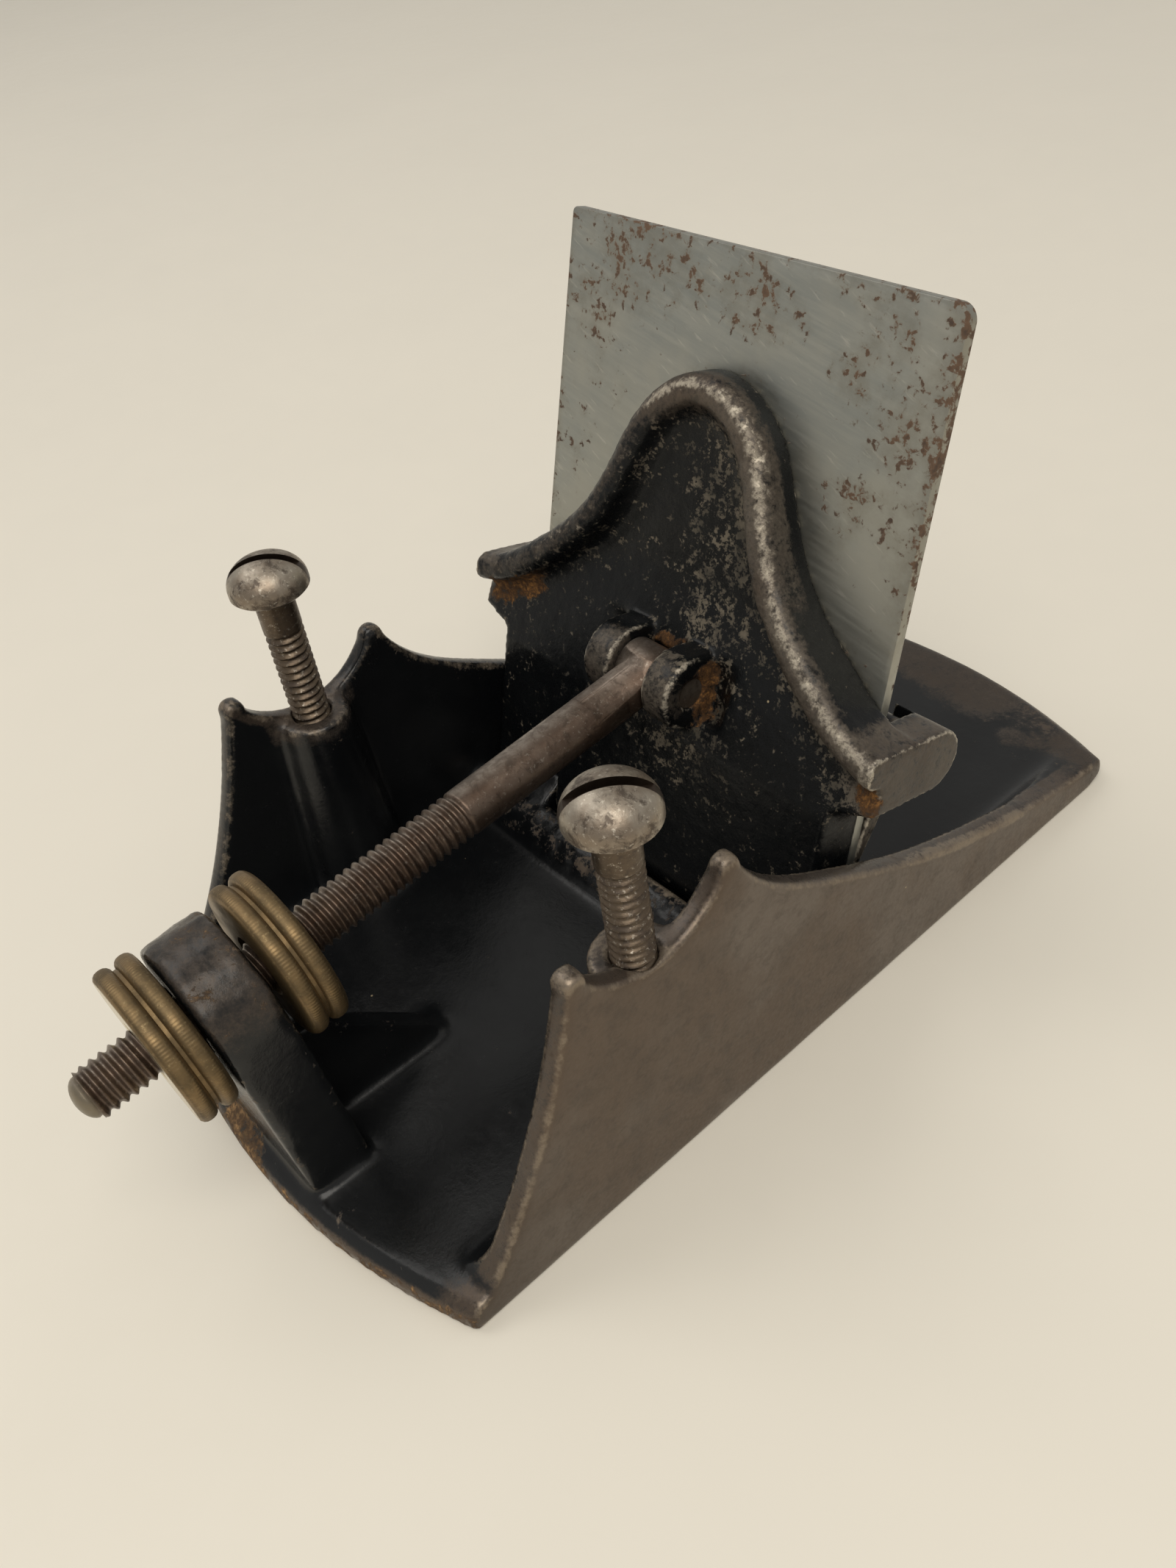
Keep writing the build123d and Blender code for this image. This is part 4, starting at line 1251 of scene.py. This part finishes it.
def makeClampScrew():
    size = clampScrewSize
    stem, tipRound, end = size["radius"], size["tipRound"], size["length"]
    tip = bladeHeel + mm * (size["up"] * bladeUp - size["ahead"] * bladeBack)
    rounded = arcPoints((stem - tipRound, -tipRound), tipRound, 90, 0, size["tipSteps"])
    outline = [(0, 0)] + [(r, -z) for r, z in rounded]
    outline += [(stem, step) for step in threadSteps(size, tipRound + size["seam"], end - size["seam"])]
    outline += [(stem - size["endTaper"], end), (0, end)]
    thread = threadShape(size, tipRound, end + size["pitch"])
    mesh = turnedMesh("clampScrew", outline, size["segments"], thread)
    smoothShade(mesh, size["sharp"])
    mesh.materials.append(pinFinish)
    newPiece("clampScrew", mesh, "clamp_screw", "clamp_screw", along(tip, clampAxis))


makeHandleScrew("leftHandleScrew", "left_handle_screw", "left_screw", joints["left_screw_turn"])
makeHandleScrew("rightHandleScrew", "right_handle_screw", "right_screw", joints["right_screw_turn"])
makeClampScrew()
for pin in ("pivot_pin", "rod_pin"):
    slots = frame["nodes"][pin].data.materials
    slots.clear()
    slots.append(pinFinish)
print("screws and pins done")


# floor, light and camera
stage = {
    "floor": (0.79, 0.748, 0.655), "floorShade": (0.757, 0.717, 0.628), "span": 4.0,
    "cloud": dict(spot=60, detail=3), "grain": dict(spot=8, detail=4), "band": (0.3, 0.7),
    "rough": (0.55, 0.7),
}
room = {"colour": (0.96, 0.935, 0.885), "strength": 0.51}
lampAim = (0, 0, 0.03)
lamps = (
    dict(name="ceilingLamp", place=(0.5, -0.4, 1.15), size=0.9, power=8.9, colour=(1.0, 0.95, 0.87)),
    dict(name="roomLamp", place=(-0.75, -0.35, 1.15), size=0.8, power=3.4, colour=(1.0, 0.97, 0.93)),
)
photoView = {  # eye in mm, turn in degrees
    "eye": (127.27, -92.68, 167.03), "turn": (48.400, 7.173, 48.291), "lens": 30.219, "sensor": 36.0,
    "near": 5.0,
}


def makeStage():
    half = stage["span"] / 2
    corners = [(-half, -half, 0), (half, -half, 0), (half, half, 0), (-half, half, 0)]
    mesh = bpy.data.meshes.new("floor")
    mesh.from_pydata(corners, [], [(0, 1, 2, 3)])
    look, tree, shader = newLook("paleBoard")
    board = tint(tree, mottle(tree, **stage["cloud"]), stage["floor"], stage["floorShade"])
    feed(tree, shader.inputs["Base Color"], board)
    rough = ramp(tree, mottle(tree, **stage["grain"]), stage["band"], *stage["rough"])
    feed(tree, shader.inputs["Roughness"], rough)
    mesh.materials.append(look)
    floor = bpy.data.objects.new("floor", mesh)
    collection.objects.link(floor)

    world = bpy.data.worlds.new("room")
    bpy.context.scene.world = world
    world.use_nodes = True
    sky = world.node_tree.nodes["Background"]
    sky.inputs["Color"].default_value = (*room["colour"], 1)
    sky.inputs["Strength"].default_value = room["strength"]

    for lamp in lamps:
        light = bpy.data.lights.new(lamp["name"], "AREA")
        light.energy = lamp["power"]
        light.size = lamp["size"]
        light.color = lamp["colour"]
        holder = bpy.data.objects.new(lamp["name"], light)
        holder.location = lamp["place"]
        aim = Vector(lampAim) - Vector(lamp["place"])
        holder.rotation_euler = aim.to_track_quat("-Z", "Y").to_euler()
        collection.objects.link(holder)

    lens = bpy.data.cameras.new("photoCamera")
    lens.lens = photoView["lens"]
    lens.sensor_width = photoView["sensor"]
    lens.clip_start = photoView["near"] * mm
    camera = bpy.data.objects.new("photoCamera", lens)
    camera.location = Vector(photoView["eye"]) * mm
    camera.rotation_euler = [math.radians(angle) for angle in photoView["turn"]]
    collection.objects.link(camera)
    bpy.context.scene.camera = camera
    bpy.context.scene.view_settings.view_transform = "Standard"


makeStage()
print("stage done")
